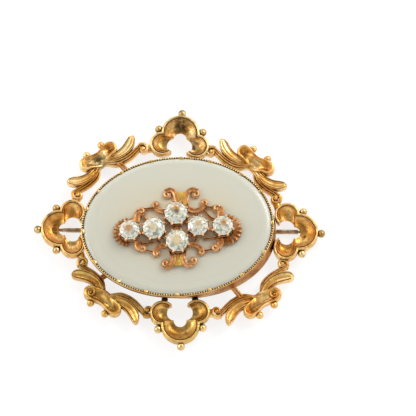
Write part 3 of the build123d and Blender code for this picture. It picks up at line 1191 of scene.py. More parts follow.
@dataclass(frozen=True)
class ScrollSection:
    """One scroll section of the frame, drawn between the right and the top trefoil."""

    name: str
    side_x: int
    side_y: int
    shift: tuple[float, float]
    finish: WornGold
    rolled: tuple[bool, bool] = (False, True)
    base: float = 1.55
    leaf_top: float = 3.6
    leaf_width: float = 2.4
    leaf_hollow: float = 0.2
    leaf_lip: float = 0.17
    leaf_tilt: float = 0.2
    root_drop: float = 0.25
    tip_from: float = 0.7
    tip_lift: float = 0.35
    rib_top: float = 3.4
    rib_width: float = 0.5
    rib_pitch: float = 0.56
    rib_count: int = 3
    rib_drop: float = 0.24
    clasp: tuple[Vector, Vector] = (plan(16.27, 20.19), plan(21.88, 16.14))
    clasp_r: float = 1.7
    clasp_waist: float = 0.82
    clasp_tongue: float = 0.95
    clasp_top: float = 4.15
    saddle_depth: float = 0.66
    bowl_depth: float = 1.25
    rolled_depth: float = 0.7
    roll_turn: float = 450
    roll_inset: float = 0.32
    roll_eye: float = 0.5
    roll_base: float = 2.4
    roll_width: Pair = (0.62, 0.45)
    roll_rise: Pair = (0.03, -0.4)
    pupil_r: float = 0.36
    pupil_drop: float = 0.75
    curl_r: Pair = (1.38, 0.35)
    curl_width: Pair = (0.85, 0.5)
    curl_top: Pair = (3.4, 3.2)
    eye_r: float = 0.56
    eye_height: float = 3.0
    stub_width: float = 1.9
    stub_top: float = 3.25
    knot_width: float = 2.6
    knot_top: float = 3.35
    knot_inward: float = 1.5
    knobs: tuple[Vector, ...] = (plan(18.47, 21.19), plan(21.88, 18.57))
    knob: CollaredBall = CollaredBall(
        0.9, 24, ((1.6, 0.6), (1.1, 0.6), (0.95, 0.84), (0.75, 0.84), (0.5, 0.6)), 14
    )
    knob_height: float = 2.7

    @staticmethod
    def branches() -> tuple[Branch, Branch]:
        """The two halves of the section, measured in its own quarter of the frame.

        Returns:
            The half towards the top trefoil and the half towards the right one.
        """
        upper = Branch(
            leaf=(plan(16.9, 17.8), plan(12.95, 19.65), plan(11.15, 22.75)),
            ribs=(plan(18.3, 16.9), plan(14.9, 17.15), plan(12.5, 18.2), plan(10.7, 19.8), plan(9.35, 21.25)),
            inward=-1,
            curl=plan(8.35, 20.35),
            curl_start=math.radians(48),
            curl_turn=math.radians(420),
            link=plan(6.4, 20.7),
        )
        lower = Branch(
            leaf=(plan(19.3, 15.4), plan(22.15, 12.4), plan(25.7, 11.7)),
            ribs=(plan(18.7, 16.4), plan(19.9, 13.6), plan(21.6, 11.7), plan(23.4, 10.4), plan(24.75, 9.4)),
            inward=1,
            curl=plan(23.75, 8.45),
            curl_start=math.radians(42),
            curl_turn=math.radians(-420),
            link=plan(24.4, 6.4),
        )
        return upper, lower

    def leaf(self, branch: Branch) -> bmesh.types.BMesh:
        """A broad channelled leaf that flares to a lifted tip with a rolled lip.

        Args:
            branch: the half that it belongs to.

        Returns:
            The leaf's mesh.
        """
        path = arc_path(*branch.leaf, 40)
        step = path[-1] - path[-2]
        path += [path[-1] + step * k for k in (1, 1.9, 2.7, 3.4, 3.9)]
        return bar(path, lambda share: self.leaf_outline(share, branch.inward))

    def leaf_outline(self, share: float, inward: int) -> Outline:
        """The outline of a leaf part of the way along it.

        Args:
            share: the share of the way from its root to its tip.
            inward: the side on which its lower edge lies.

        Returns:
            The outline, anticlockwise.
        """
        width = self.leaf_width * blend(0.8, 1.0, ease(share / 0.7))
        past = max(0.0, (share - self.tip_from) / (1 - self.tip_from))
        close = max(0.0, 1 - past**2.6) ** 0.8
        lift = self.tip_lift * ease((share - 0.5) / 0.4) - 0.4 * ease((share - 0.9) / 0.1)
        top = self.leaf_top - self.root_drop * (1 - ease(share / 0.3)) + lift
        tilt, flute = self.leaf_tilt * inward, blend(0.01, 0.1, close)
        return gutter(
            max(width * close, 0.3), self.base, top, self.leaf_hollow * close, self.leaf_lip, tilt, flute
        )

    def ribs(self, branch: Branch) -> list[bmesh.types.BMesh]:
        """The round-backed ribs beside a leaf, each a little lower than the one before.

        Args:
            branch: the half that they belong to.

        Returns:
            The ribs' meshes.
        """
        last = 33
        path = flow_path(branch.ribs, last + 1)
        ways = [path[min(n + 1, last)] - path[max(n - 1, 0)] for n in range(last + 1)]
        sides = [plan(way.y, -way.x).normalized() * branch.inward for way in ways]
        # The ribs run together where they leave the clasp, and draw closer again at the curl
        fans = [blend(0.3, 1, ease(n / 10)) * blend(1.1, 0.75, n / last) for n in range(last + 1)]
        made = []
        for k in range(self.rib_count):
            moved = [point + side * k * self.rib_pitch * fan for point, side, fan in zip(path, sides, fans)]
            top = self.rib_top - self.rib_drop * k
            made.append(
                bar(moved, lambda s, top=top: domed(self.rib_width * blend(1.05, 0.85, s), self.base, top))
            )
        return made

    def curl(self, branch: Branch) -> bmesh.types.BMesh:
        """The curl at the end of a branch.

        Args:
            branch: the half that it belongs to.

        Returns:
            The curl's mesh.
        """
        path = curl_path(branch.curl, branch.curl_start, branch.curl_turn, *self.curl_r, 44)
        return bar(path, lambda s: domed(blend(*self.curl_width, s), self.base, blend(*self.curl_top, s)))

    def clasp_edge(self, corners: int) -> list[tuple[Vector, Vector]]:
        """The waisted outline of the clasp along its own X axis, with a tongue on its inward side.

        Args:
            corners: number of points along each side.

        Returns:
            For each point its foot on the clasp's middle line and the way out from there.
        """
        half = (self.clasp[1] - self.clasp[0]).length / 2
        shares = [n / (corners - 1) for n in range(corners)]
        rows = []
        for share in shares:
            x = half * (1 - 2 * share)
            waist = self.clasp_waist * math.cos(math.pi / 2 * x / half) ** 2
            rows.append((plan(x, 0), plan(0, self.clasp_r - waist)))
        caps = [math.pi * (n + 1) / 13 for n in range(12)]
        rows += [(plan(-half, 0), unit(math.pi / 2 + turn) * self.clasp_r) for turn in caps]
        for share in shares:
            x = -half * (1 - 2 * share)
            tongue = self.clasp_tongue * math.sin(math.pi * share**1.25) ** 2
            rows.append((plan(x, 0), plan(0, -self.clasp_r - tongue)))
        rows += [(plan(half, 0), unit(-math.pi / 2 + turn) * self.clasp_r) for turn in caps]
        return rows

    def clasp_body(self) -> bmesh.types.BMesh:
        """The broad clasp: a saddle with thick rolled edges and a bowl at each end.

        Returns:
            The clasp's mesh, along its own X axis.
        """
        wall = ((0.05, self.base), (0.01, 1.8), (0.0, 2.7), (0.03, 2.82), (0.03, 2.94), (0.0, 3.06))
        rim = ((0.0, 0.42), (0.02, 0.2), (0.06, 0.05), (0.12, 0.0), (0.18, 0.04), (0.23, 0.16))
        steps, last_share = 10, 0.985
        face = [(share, drop, 0.0) for share, drop in rim]
        edge_share, edge_drop = rim[-1]
        for n in range(1, steps + 1):
            face.append((blend(edge_share, last_share, n / steps), edge_drop, n / steps))
        edge = self.clasp_edge(30)
        half = edge[0][0].x
        rings = [[foot + way * (1 - share) + plan(0, 0, z) for foot, way in edge] for share, z in wall]
        for share, drop, down in face:
            ring = []
            for foot, way in edge:
                out = abs(foot.x) / half
                broad = share + 0.14 * math.sin(math.pi * share) * ease((out - 0.6) / 0.4)
                depth = self.rolled_depth if self.rolled[foot.x > 0] else self.bowl_depth
                floor = blend(self.saddle_depth, depth, ease((out - 0.4) / 0.5)) * (1 - (1 - down) ** 2)
                middle = math.cos(math.pi / 2 * out) ** 2 if way.y < 0 else 0.0
                fall = middle * (1 - ease(share / 0.9))
                z = self.clasp_top - drop * (1 - 0.8 * middle) - floor - fall
                ring.append(foot + way * (1 - broad) + plan(0, 0, z))
            rings.append(ring)
        return drawn(rings)

    def roll(self, end: int) -> list[bmesh.types.BMesh]:
        """The spiral that one end of the clasp rolls into, and its eye.

        Args:
            end: -1 for its first end, 1 for its last.

        Returns:
            Their meshes, along the clasp's own X axis.
        """
        middle = plan(end * (self.clasp[1] - self.clasp[0]).length / 2, 0)
        turn = -end * math.radians(self.roll_turn)
        path = curl_path(middle, math.pi / 2, turn, self.clasp_r - self.roll_inset, self.roll_eye, 60)
        top = self.clasp_top
        spiral = bar(
            path, lambda s: domed(blend(*self.roll_width, s), self.roll_base, top + blend(*self.roll_rise, s))
        )
        return [spiral, ball(middle + plan(0, 0, top - self.pupil_drop), self.pupil_r, 14)]

    def half(self, branch: Branch, casting: Casting) -> None:
        """Adds one half of the section.

        Args:
            branch: the half.
            casting: the piece that it joins.
        """
        casting.add(self.leaf(branch))
        for rib in self.ribs(branch):
            casting.add(rib)
        casting.add(self.curl(branch))
        casting.add(ball(branch.curl + plan(0, 0, self.eye_height), self.eye_r, 14))
        way = (branch.link - branch.curl).normalized()
        stub = [branch.curl + way * k for k in (0.9, 1.4, 1.9, 2.4)]
        casting.add(bar(stub, lambda s: domed(self.stub_width, self.base, self.stub_top)))

    def outside(self, casting: Casting, inward: Vector) -> None:
        """Adds the bar under the clasp and the balls outside it.

        Args:
            casting: the piece that they join.
            inward: the unit vector from the clasp to the middle of the frame.
        """
        a, b = self.clasp
        knot = [a.lerp(b, s) + inward * self.knot_inward for s in (0.12, 0.3, 0.5, 0.7, 0.88)]
        casting.add(bar(knot, lambda s: domed(self.knot_width, self.base, self.knot_top)))
        for spot in self.knobs:
            near = a + (b - a) * min(1, max(0, (spot - a).dot(b - a) / (b - a).length_squared))
            self.knob.add(casting, spot + plan(0, 0, self.knob_height), (spot - near).normalized())

    def build(self) -> None:
        """Builds the section and puts it in its corner of the frame."""
        casting, clasp = Casting(), Casting()
        for branch in self.branches():
            self.half(branch, casting)
        a, b = self.clasp
        angle = math.atan2(b.y - a.y, b.x - a.x)
        self.outside(casting, unit(angle - math.pi / 2))
        place = Matrix.Translation((a + b) / 2) @ Matrix.Rotation(angle, 4, "Z")
        clasp.add(self.clasp_body(), place)
        for end, rolled in zip((-1, 1), self.rolled):
            for part in self.roll(end) if rolled else ():
                clasp.add(part, place)
        flip = Matrix.Diagonal((self.side_x, self.side_y, 1, 1))
        shift = plan(self.side_x * self.shift[0], self.side_y * self.shift[1])
        # The clasps' floors brown from higher up: tarnish, and painted shade of the dark overhead they
        # reflect
        clasp_finish_with_floor_shade = replace(self.finish, name=self.finish.name + " of clasps", crest_mm=3.95, floor_mm=3.0)
        for part, name, finish in ((casting, "", self.finish), (clasp, "_clasp", clasp_finish_with_floor_shade)):
            part.move(Matrix.Translation(shift) @ flip)
            cast_mount(part, self.name + name, finish)


# The agate and its setting


@dataclass(frozen=True)
class OvalPlan:
    """The oval plan that the agate and its setting share."""

    half_length: float = 22.8
    half_width: float = 17.4
    x: float = -0.43
    y: float = -0.57
    turn: float = 4

    def place(self) -> Matrix:
        """The plan's place in the frame."""
        return Matrix.Translation((self.x, self.y, 0)) @ Matrix.Rotation(math.radians(self.turn), 4, "Z")

    def shape(self, mesh: bmesh.types.BMesh) -> None:
        """Draws a round turning out to the oval, with walls of even thickness.

        Args:
            mesh: a turning whose radii are measured along the oval's length.
        """
        less = self.half_width - self.half_length
        for vert in mesh.verts:
            r = math.hypot(vert.co.x, vert.co.y)
            if r > MM:
                vert.co.y *= (r + less * min(1, r / self.half_length)) / r

    def at(self, angle: float, inset: float) -> Vector:
        """The point of the oval at an angle, drawn in by an inset."""
        return plan((self.half_length - inset) * math.cos(angle), (self.half_width - inset) * math.sin(angle))

    def along(self, count: int, inset: float) -> list[float]:
        """Angles of evenly spaced points round the oval.

        Args:
            count: number of points.
            inset: how far the oval is drawn in.

        Returns:
            The angles in radians.
        """
        fine_steps = 4000
        angles = [math.tau * n / fine_steps for n in range(fine_steps + 1)]
        points = [self.at(angle, inset) for angle in angles]
        runs = [0.0]
        for a, b in zip(points, points[1:]):
            runs.append(runs[-1] + (b - a).length)
        spaced, k = [], 0
        for n in range(count):
            goal = runs[-1] * n / count
            while runs[k + 1] < goal:
                k += 1
            spaced.append(angles[k])
        return spaced


@dataclass(frozen=True)
class BoxSetting:
    """The leaning tube that holds the agate, with its beaded edge and bent-over nibs."""

    oval: OvalPlan = OvalPlan()
    bottom: float = 2.3
    top: float = 6.5
    wall: float = 0.4
    bearing_top: float = 4.8
    bearing_bottom: float = 4.3
    bearing_width: float = 1.0
    lean: Pair = (0.7, 0.7)
    twist: float = -8.0
    lip_width: float = 0.1
    bead_r: float = 0.2
    bead_inset: float = 0.22
    bead_count: int = 212
    line_pitch: float = 0.38
    nib_size: tuple[float, float, float] = (0.72, 0.9, 0.24)
    nib_softening: float = 0.09
    nib_inset: float = 0.36
    nib_dip: float = -10
    steps: int = 200
    nibs: tuple[float, ...] = (
        *(85, 67, 45, 26, -2, -27, -50, -73, -93),
        *(-112, -131, -153, 180, 161, 145, 124, 104),
    )

    def tube(self) -> bmesh.types.BMesh:
        """The wall, with drawn lines round its outside, and the bearing inside it.

        Returns:
            The tube's mesh.
        """
        a = self.oval.half_length
        outside = [(a, self.bottom), (a + 0.06, self.bottom + 0.1), (a + 0.06, self.bottom + 0.25)]
        z = self.bottom + 0.3
        while z + self.line_pitch < self.top - 0.35:
            outside += [(a - 0.03, z), (a + 0.02, z + 0.1), (a + 0.02, z + self.line_pitch - 0.1)]
            z += self.line_pitch
        inner = a - self.wall
        profile = [
            *outside,
            (a - 0.02, self.top - 0.3),
            (inner - self.lip_width, self.top - 0.3),
            (inner, self.top - 0.36),
            (inner, self.bearing_top),
            (inner - self.bearing_width, self.bearing_top),
            (inner - self.bearing_width, self.bearing_bottom),
            (inner, self.bearing_bottom),
            (inner, self.bottom),
        ]
        mesh = turning(profile, self.steps)
        self.oval.shape(mesh)
        for vert in mesh.verts:
            share = max(0.0, (self.bearing_top - vert.co.z) / (self.bearing_top - self.bottom))
            turned = Matrix.Rotation(math.radians(self.twist) * share, 3, "Z") @ vert.co
            vert.co = turned + plan(self.lean[0] * share, self.lean[1] * share)
        return mesh

    def beads(self) -> bmesh.types.BMesh:
        """The row of small beads on the tube's edge, a little uneven as cut by hand.

        Returns:
            The beads' mesh.
        """
        chance = random.Random(7)
        mesh = bmesh.new()
        for angle in self.oval.along(self.bead_count, self.bead_inset):
            spot = self.oval.at(angle, self.bead_inset + chance.uniform(-0.03, 0.03))
            size = self.bead_r * chance.uniform(0.82, 1.08)
            place = Matrix.Translation(spot + plan(0, 0, self.top - 0.04)) @ Matrix.Rotation(angle, 4, "Z")
            squash = Matrix.Diagonal((1.0, 0.86, 0.9, 1))
            bmesh.ops.create_uvsphere(mesh, u_segments=8, v_segments=6, radius=size, matrix=place @ squash)
        return mesh

    def border(self) -> bmesh.types.BMesh:
        """The thin bright border outside the beads.

        Returns:
            The border's mesh.
        """
        a = self.oval.half_length
        rows = (
            (0.02, -0.52),
            (0.09, -0.46),
            (0.11, -0.36),
            (0.07, -0.26),
            (-0.02, -0.22),
            (-0.08, -0.28),
            (-0.06, -0.52),
        )
        mesh = turning([(a + out, self.top + up) for out, up in rows], self.steps)
        self.oval.shape(mesh)
        return mesh

    def ground(self) -> bmesh.types.BMesh:
        """The browned strip that the beads stand on.

        Returns:
            The strip's mesh.
        """
        out, back = self.oval.half_length - 0.02, self.oval.half_length - 0.49
        low, high = self.top - 0.29, self.top - 0.15
        mesh = turning([(back, low), (out, low), (out, high), (back, high)], self.steps)
        self.oval.shape(mesh)
        return mesh

    def nib(self, angle: float) -> bmesh.types.BMesh:
        """One nib of the edge, pressed over the agate.

        Args:
            angle: where it stands on the oval, in radians.

        Returns:
            The nib's mesh.
        """
        mesh = soft_block(self.nib_size, self.nib_softening)
        spot = self.oval.at(angle, self.nib_inset) + plan(0, 0, self.top + 0.08)
        out = self.oval.at(angle, 0) - self.oval.at(angle, 1)
        turn = Matrix.Rotation(math.atan2(out.y, out.x), 4, "Z")
        dip = Matrix.Rotation(math.radians(self.nib_dip), 4, "Y")
        bmesh.ops.transform(mesh, matrix=Matrix.Translation(spot) @ turn @ dip, verts=mesh.verts)
        return mesh

    def build(self) -> None:
        """Builds the tube, the browned strip on it, its beads and its nibs."""
        tube, edge, ground, nibs = Casting(), Casting(), Casting(), Casting()
        tube.add(self.tube(), self.oval.place())
        cast_mount(tube, "box_setting_wall", WALL_GOLD, 30)
        edge.take(self.beads())
        edge.add(self.border())
        edge.move(self.oval.place())
        cast_mount(edge, "box_setting_edge", BEAD_GOLD, 60)
        ground.add(self.ground(), self.oval.place())
        cast_mount(ground, "box_setting_ground", GROUND_GOLD, 30)
        for degrees in self.nibs:
            nibs.add(self.nib(math.radians(degrees)))
        nibs.move(self.oval.place())
        cast_mount(nibs, "box_setting_nibs", NIB_GOLD, 60)


@dataclass(frozen=True)
class AgatePlaque:
    """The domed plaque."""

    oval: OvalPlan = OvalPlan()
    bottom: float = 4.86
    girdle: float = 6.14
    edge_inset: float = 0.46
    lip_inset: float = 0.5
    shoulder_width: float = 2.2
    shoulder_height: float = 6.94
    shoulder_steps: int = 8
    top: float = 7.5
    dome_steps: int = 16
    steps: int = 160

    def build(self) -> None:
        """Builds the plaque: a flat back, an upright edge, a round shoulder and a low dome."""
        edge = self.oval.half_length - self.edge_inset
        start = self.oval.half_length - self.lip_inset
        profile = [(0.0, self.bottom), (edge, self.bottom), (edge, self.girdle), (start, self.girdle)]
        for n in range(1, self.shoulder_steps + 1):
            turn = math.pi / 2 * n / self.shoulder_steps
            height = blend(self.girdle, self.shoulder_height, math.sin(turn))
            profile.append((start - self.shoulder_width * (1 - math.cos(turn)), height))
        shoulder = start - self.shoulder_width
        for n in range(1, self.dome_steps + 1):
            share = 1 - n / self.dome_steps
            profile.append((shoulder * share, self.top - (self.top - self.shoulder_height) * share**2))
        mesh = turning(profile, self.steps)
        self.oval.shape(mesh)
        casting = Casting()
        casting.add(mesh, self.oval.place())
        casting.cast("agate", PolishedAgate().material(), Slot.AGATE, "agate_plaque", 30)


# The ornament and its stones


@dataclass(frozen=True)
class Stone:
    """A cut stone: its node, its place in the ornament, its radius and the heart of its foil."""

    node: str
    place: Vector
    r: float
    heart: str
    heart_mm: float
    heart_at: Vector
    pit_mm: float = 0.0


@dataclass(frozen=True)
class Cuff:
    """A pleated fan with pointed teeth, part of the way round a stone; its bearings are in degrees."""

    stone: int
    shift: Vector
    outer: float
    first: float
    last: float
    teeth: int
    inner: float = 2.2
    tooth_steps: int = 8
    tooth_depth: float = 0.5
    pleat: float = 0.06

    def fan(self, stone: Vector) -> bmesh.types.BMesh:
        """The cuff's mesh.

        Args:
            stone: the middle of its stone.

        Returns:
            The fan, which narrows towards its two ends.
        """
        middle = stone + self.shift
        steps = self.teeth * self.tooth_steps
        rings = []
        for n in range(steps + 1):
            turn = math.radians(blend(self.first, self.last, n / steps))
            phase = abs(2 * ((n / self.tooth_steps) % 1) - 1)
            narrowing = 1 - max(0.0, math.sin(math.pi * n / steps)) ** 0.5
            reach_out = self.outer - self.tooth_depth * phase - 0.5 * narrowing
            crest = self.pleat * (0.5 - phase)
            rows = (
                (self.inner, 0.0),
                (reach_out - 0.1, 0.0),
                (reach_out, 0.12),
                (reach_out, 0.34),
                (reach_out - 0.1, 0.46 + crest * 0.5),
                (reach_out * 0.94, 0.5 + crest),
                (blend(self.inner, reach_out, 0.55), 0.52 + crest * 0.6),
                (self.inner + 0.15, 0.6),
                (self.inner, 0.6),
            )
            rings.append([middle + unit(turn) * r + plan(0, 0, z) for r, z in rows])
        return drawn(rings)


@dataclass(frozen=True)
class Ornament:
    """The rose gold ornament on the agate; its tables give places as shares of its reach."""

    SCROLLS: ClassVar[tuple[Shares, ...]] = (
        ((0.085, 0.52), (0.18, 0.70), (0.21, 0.90), (0.29, 0.975), (0.375, 0.93)),
        ((0.13, 0.52), (0.04, 0.70), (0.01, 0.90), (-0.05, 1.0), (-0.14, 0.96)),
        ((0.18, 0.76), (0.185, 0.55), (0.28, 0.44), (0.40, 0.47), (0.47, 0.57)),
        ((0.03, 0.76), (-0.01, 0.58), (-0.12, 0.47), (-0.24, 0.48), (-0.31, 0.58)),
        ((0.06, -0.52), (0.08, -0.75), (0.13, -0.90), (0.21, -0.90), (0.255, -0.84)),
        ((-0.06, -0.52), (-0.08, -0.75), (-0.13, -0.90), (-0.20, -0.91), (-0.24, -0.86)),
        ((0.075, -0.70), (0.12, -0.47), (0.24, -0.40), (0.34, -0.48), (0.375, -0.58)),
        ((-0.075, -0.70), (-0.12, -0.45), (-0.23, -0.38), (-0.33, -0.46), (-0.365, -0.56)),
    )
    SIDE_SCROLLS: ClassVar[tuple[Shares, ...]] = (
        ((0.70, 0.25), (0.72, 0.40), (0.69, 0.50)),
        ((-0.62, 0.25), (-0.60, 0.42), (-0.55, 0.53)),
        ((0.665, -0.28), (0.675, -0.42), (0.63, -0.55)),
        ((-0.62, -0.24), (-0.63, -0.36), (-0.58, -0.46)),
    )
    LINKS: ClassVar[tuple[Shares, ...]] = (
        ((0.485, 0.52), (0.56, 0.50), (0.62, 0.52)),
        ((-0.32, 0.57), (-0.42, 0.56), (-0.51, 0.55)),
        ((0.39, -0.57), (0.47, -0.57), (0.55, -0.54)),
        ((-0.37, -0.53), (-0.45, -0.50), (-0.53, -0.45)),
        ((0.34, 0.42), (0.343, 0.30)),
        ((-0.20, 0.44), (-0.11, 0.32)),
        ((0.24, -0.38), (0.30, -0.26)),
        ((-0.23, -0.36), (-0.30, -0.26)),
        ((0.45, 0.45), (0.53, 0.28), (0.60, 0.20)),
        ((0.42, -0.28), (0.54, -0.27), (0.66, -0.24)),
        ((-0.60, -0.27), (-0.50, -0.31), (-0.38, -0.28)),
        ((-0.52, 0.42), (-0.48, 0.30), (-0.44, 0.24)),
    )
    CURLS: ClassVar[tuple[tuple[tuple[float, float], float, float, float], ...]] = (
        ((0.34, 0.855), 70, -330, 1.05),
        ((-0.11, 0.88), 110, 330, 1.05),
        ((0.46, 0.635), -60, 330, 1.0),
        ((-0.30, 0.65), 240, -330, 1.0),
        ((0.235, -0.80), -80, 340, 1.1),
        ((-0.20, -0.82), 260, -340, 1.1),
        ((0.365, -0.60), 60, -300, 1.0),
        ((-0.34, -0.57), 120, 300, 1.0),
        ((0.655, 0.47), 20, 330, 1.1),
        ((-0.53, 0.50), 160, -330, 1.15),
        ((0.59, -0.50), -20, -330, 1.15),
        ((-0.545, -0.42), 200, 330, 1.05),
    )
    NECKS: ClassVar[tuple[Shares, ...]] = (((0.11, 0.50), (0.11, 0.93)), ((0.0, -0.50), (0.0, -0.90)))
    JOINED: ClassVar[tuple[tuple[int, int], ...]] = ((0, 1), (1, 2), (1, 3), (2, 3), (2, 4), (3, 4), (4, 5))

    x: float = -0.68
    y: float = -1.97
    turn: float = 4
    plate_bottom: float = 7.55
    plate: float = 0.6
    lift: float = 1.6
    reach: Pair = (15.0, 10.0)
    bar_width: float = 1.3
    side_width: float = 1.75
    bar_top: float = 0.7
    link_width: float = 0.6
    link_top: float = 0.62
    joint_width: float = 1.2
    curl_eye: float = 0.12
    curl_width: Pair = (0.42, 0.5)
    curl_top: Pair = (0.72, 0.82)
    neck_width: float = 3.2
    claws: int = 8
    agate_bottom: float = 4.81

    @staticmethod
    def stones() -> tuple[Stone, ...]:
        """The six stones."""
        return (
            Stone("crystal_far_left", plan(-11.07, -0.05), 2.45, "#B87C2C", 0.95, plan(-0.25, 0.3)),
            Stone("crystal_left", plan(-5.295, 0.03), 2.7, "#CFB98C", 0.8, plan(-0.3, 0.15)),
            Stone("crystal_top", plan(0.135, 3.52), 2.8, "#B87A1C", 1.05, plan(0.1, 1.1), 0.55),
            Stone("crystal_bottom", plan(0.0, -3.37), 2.75, "#D2BD92", 1.5, plan(-0.2, 0.1)),
            Stone("crystal_right", plan(5.145, 0.02), 2.45, "#C6AC80", 1.0, plan(0.2, 0.4)),
            Stone("crystal_far_right", plan(10.98, -0.31), 2.45, "#AC7828", 0.85, plan(0.3, 0.6)),
        )

    @staticmethod
    def cuffs() -> tuple[Cuff, Cuff]:
        """The cuffs of the two outermost stones.

        Returns:
            The left and the right cuff.
        """
        left = Cuff(stone=0, shift=plan(-0.1, 0.05), outer=3.95, first=72, last=268, teeth=12)
        right = Cuff(stone=5, shift=plan(0.35, -0.35), outer=4.35, first=-105, last=78, teeth=11)
        return left, right

    def place(self) -> Matrix:
        """The ornament's place in the frame."""
        spot = Matrix.Translation((self.x, self.y, self.plate_bottom))
        return spot @ Matrix.Rotation(math.radians(self.turn), 4, "Z")

    def spot(self, share_x: float, share_y: float) -> Vector:
        """A point from its shares of the ornament's reach."""
        return plan(share_x * self.reach[0], share_y * self.reach[1])

    def scroll(self, points: Shares, width: float, top: float) -> bmesh.types.BMesh:
        """A channelled scroll bar through points given as shares.

        Args:
            points: its points.
            width: its width where it starts.
            top: height of its edges.

        Returns:
            The scroll's mesh.
        """
        path = flow_path([self.spot(*share) for share in points], 8 * len(points))
        return bar(path, lambda s: gutter(width * blend(1, 0.85, ease(s)), 0, top, 0.25, 0.15))

    def curl(
        self, share: tuple[float, float], start: float, turn: float, r: float
    ) -> list[bmesh.types.BMesh]:
        """A curled scroll end: a raised spiral on a flat disc.

        Args:
            share: place of its eye.
            start: bearing where it starts, in degrees.
            turn: how far it turns, in degrees.
            r: its outer radius.

        Returns:
            The meshes of the spiral and of the disc.
        """
        middle = self.spot(*share)
        path = curl_path(middle, math.radians(start), math.radians(turn), r - 0.2, self.curl_eye, 30)
        spiral = bar(path, lambda s: domed(blend(*self.curl_width, s), 0, blend(*self.curl_top, s)))
        disc = turning([(0.0, 0.0), (r - 0.1, 0.0), (r - 0.04, 0.2), (r - 0.12, 0.46), (0.0, 0.5)], 28)
        bmesh.ops.translate(disc, verts=disc.verts, vec=middle)
        return [spiral, disc]

    def seat(self, stone: Stone) -> list[bmesh.types.BMesh]:
        """The scalloped cup and claws that hold a stone.

        Args:
            stone: the stone.

        Returns:
            The meshes of the cup and of its claws.
        """
        rim = self.plate + self.lift
        r = stone.r
        profile = [
            (r - 0.5, 0.1),
            (r - 0.1, 0.1),
            (r - 0.02, 0.5),
            (r + 0.02, rim - 0.75),
            (r + 0.12, rim - 0.35),
            (r + 0.1, rim - 0.22),
            (r - 0.08, rim - 0.3),
            (r - 0.3, rim - 0.8),
            (r - 0.5, 0.9),
        ]
        parts = [turning(profile, 48)]
        bmesh.ops.translate(parts[0], verts=parts[0].verts, vec=stone.place)
        for n in range(self.claws):
            way = unit(math.tau * (n + 0.5) / self.claws)
            small = blend(1.25, 0.8, ease(way.y + 0.5))
            heights = (
                (r - 0.04, 0.2),
                (r + 0.12, 1.2),
                (r + 0.22, rim - 0.2),
                (r + 0.17, rim + 0.12),
                (r - 0.02, rim + 0.34),
                (r - 0.22, rim + 0.44),
            )
            path = [stone.place + way * out + plan(0, 0, z) for out, z in heights]
            parts.append(wire(path, stepped((0.2, 0.2, 0.24, 0.26, 0.24, 0.1), small), 8))
        return parts

    def openwork(self, casting: Casting) -> None:
        """Adds the scrolls, the links between them, the curls and the bars between the stones.

        Args:
            casting: the piece that they join.
        """
        bars = (
            (self.SCROLLS, self.bar_width, self.bar_top),
            (self.SIDE_SCROLLS, self.side_width, self.bar_top),
            (self.LINKS, self.link_width, self.link_top),
        )
        for rows, width, top in bars:
            for points in rows:
                casting.add(self.scroll(points, width, top))
        for row in self.CURLS:
            for part in self.curl(*row):
                casting.add(part)
        stones = self.stones()
        for near, far in self.JOINED:
            a, b = stones[near].place, stones[far].place
            path = [a.lerp(b, s) for s in (0.3, 0.4, 0.5, 0.6, 0.7)]
            casting.add(bar(path, lambda s: domed(self.joint_width, 0, self.bar_top)))

    def dress(self, stone: Stone) -> None:
        """Cuts a stone and puts it in its seat.

        Args:
            stone: the stone.
        """
        cut = Casting()
        cut.add(self.cut_stone(stone.r))
        cut.move(self.place() @ Matrix.Translation(stone.place + plan(0, 0, self.plate + self.lift)))
        heart = self.place() @ (stone.place + stone.heart_at)
        name = "cut rock crystal " + stone.node
        finish = CutCrystal(name, stone.heart, heart, stone.heart_mm, stone.pit_mm)
        cut.cast("cut_" + stone.node, finish.material(), Slot.CRYSTAL, stone.node, 1)

    def build(self) -> None:
        """Builds the ornament and dresses the stones."""
        casting, cuffs = Casting(), Casting()
        self.openwork(casting)
        stones = self.stones()
        for stone in stones:
            for part in self.seat(stone):
                casting.add(part)
            self.dress(stone)
        for cuff in self.cuffs():
            cuffs.add(cuff.fan(stones[cuff.stone].place))
        cuffs.move(self.place())
        cuffs.cast("ornament_cuffs", CUFF_GOLD.material(), Slot.ROSE_GOLD, "rose_ornament")
        casting.add(self.rivet())
        casting.move(self.place())
        casting.cast("ornament", ROSE_GOLD.material(), Slot.ROSE_GOLD, "rose_ornament")
        self.necks()

    def cut_stone(self, r: float) -> bmesh.types.BMesh:
        """A round stone, ground facet by facet from a blank.

        Args:
            r: its radius.

        Returns:
            The stone's mesh, its girdle's lower edge at height 0.
        """
        crown, girdle, pavilion = 0.75, 0.15, 1.7
        mesh = bmesh.new()
        size = (2 * r, 2 * r, crown + girdle + pavilion)
        bmesh.ops.create_cube(mesh, size=1, matrix=Matrix.Diagonal((*size, 1)))
        bmesh.ops.translate(mesh, verts=mesh.verts, vec=(0, 0, (crown + girdle - pavilion) / 2))
        cuts = (
            (16, 0.0, 90.0, r * 0.985, girdle / 2),
            (16, 0.5, 44.0, r * 0.975, girdle),
            (8, 0.0, 33.0, r * 0.90, girdle + 0.02),
            (8, 0.5, 21.0, r * 0.60, girdle + crown * 0.72),
            (16, 0.5, -42.0, r * 0.985, 0.0),
            (8, 0.0, -39.5, r * 0.93, 0.0),
        )
        for count, start, slope, reach, level in cuts:
            for k in range(count):
                way = unit(math.tau * (k + start) / count)
                tilt = math.radians(abs(slope))
                lift = math.copysign(math.cos(tilt), slope) if abs(slope) < 90 else 0.0
                normal = way * math.sin(tilt) + plan(0, 0, lift)
                self.grind(mesh, way * reach + plan(0, 0, level), normal)
        return mesh

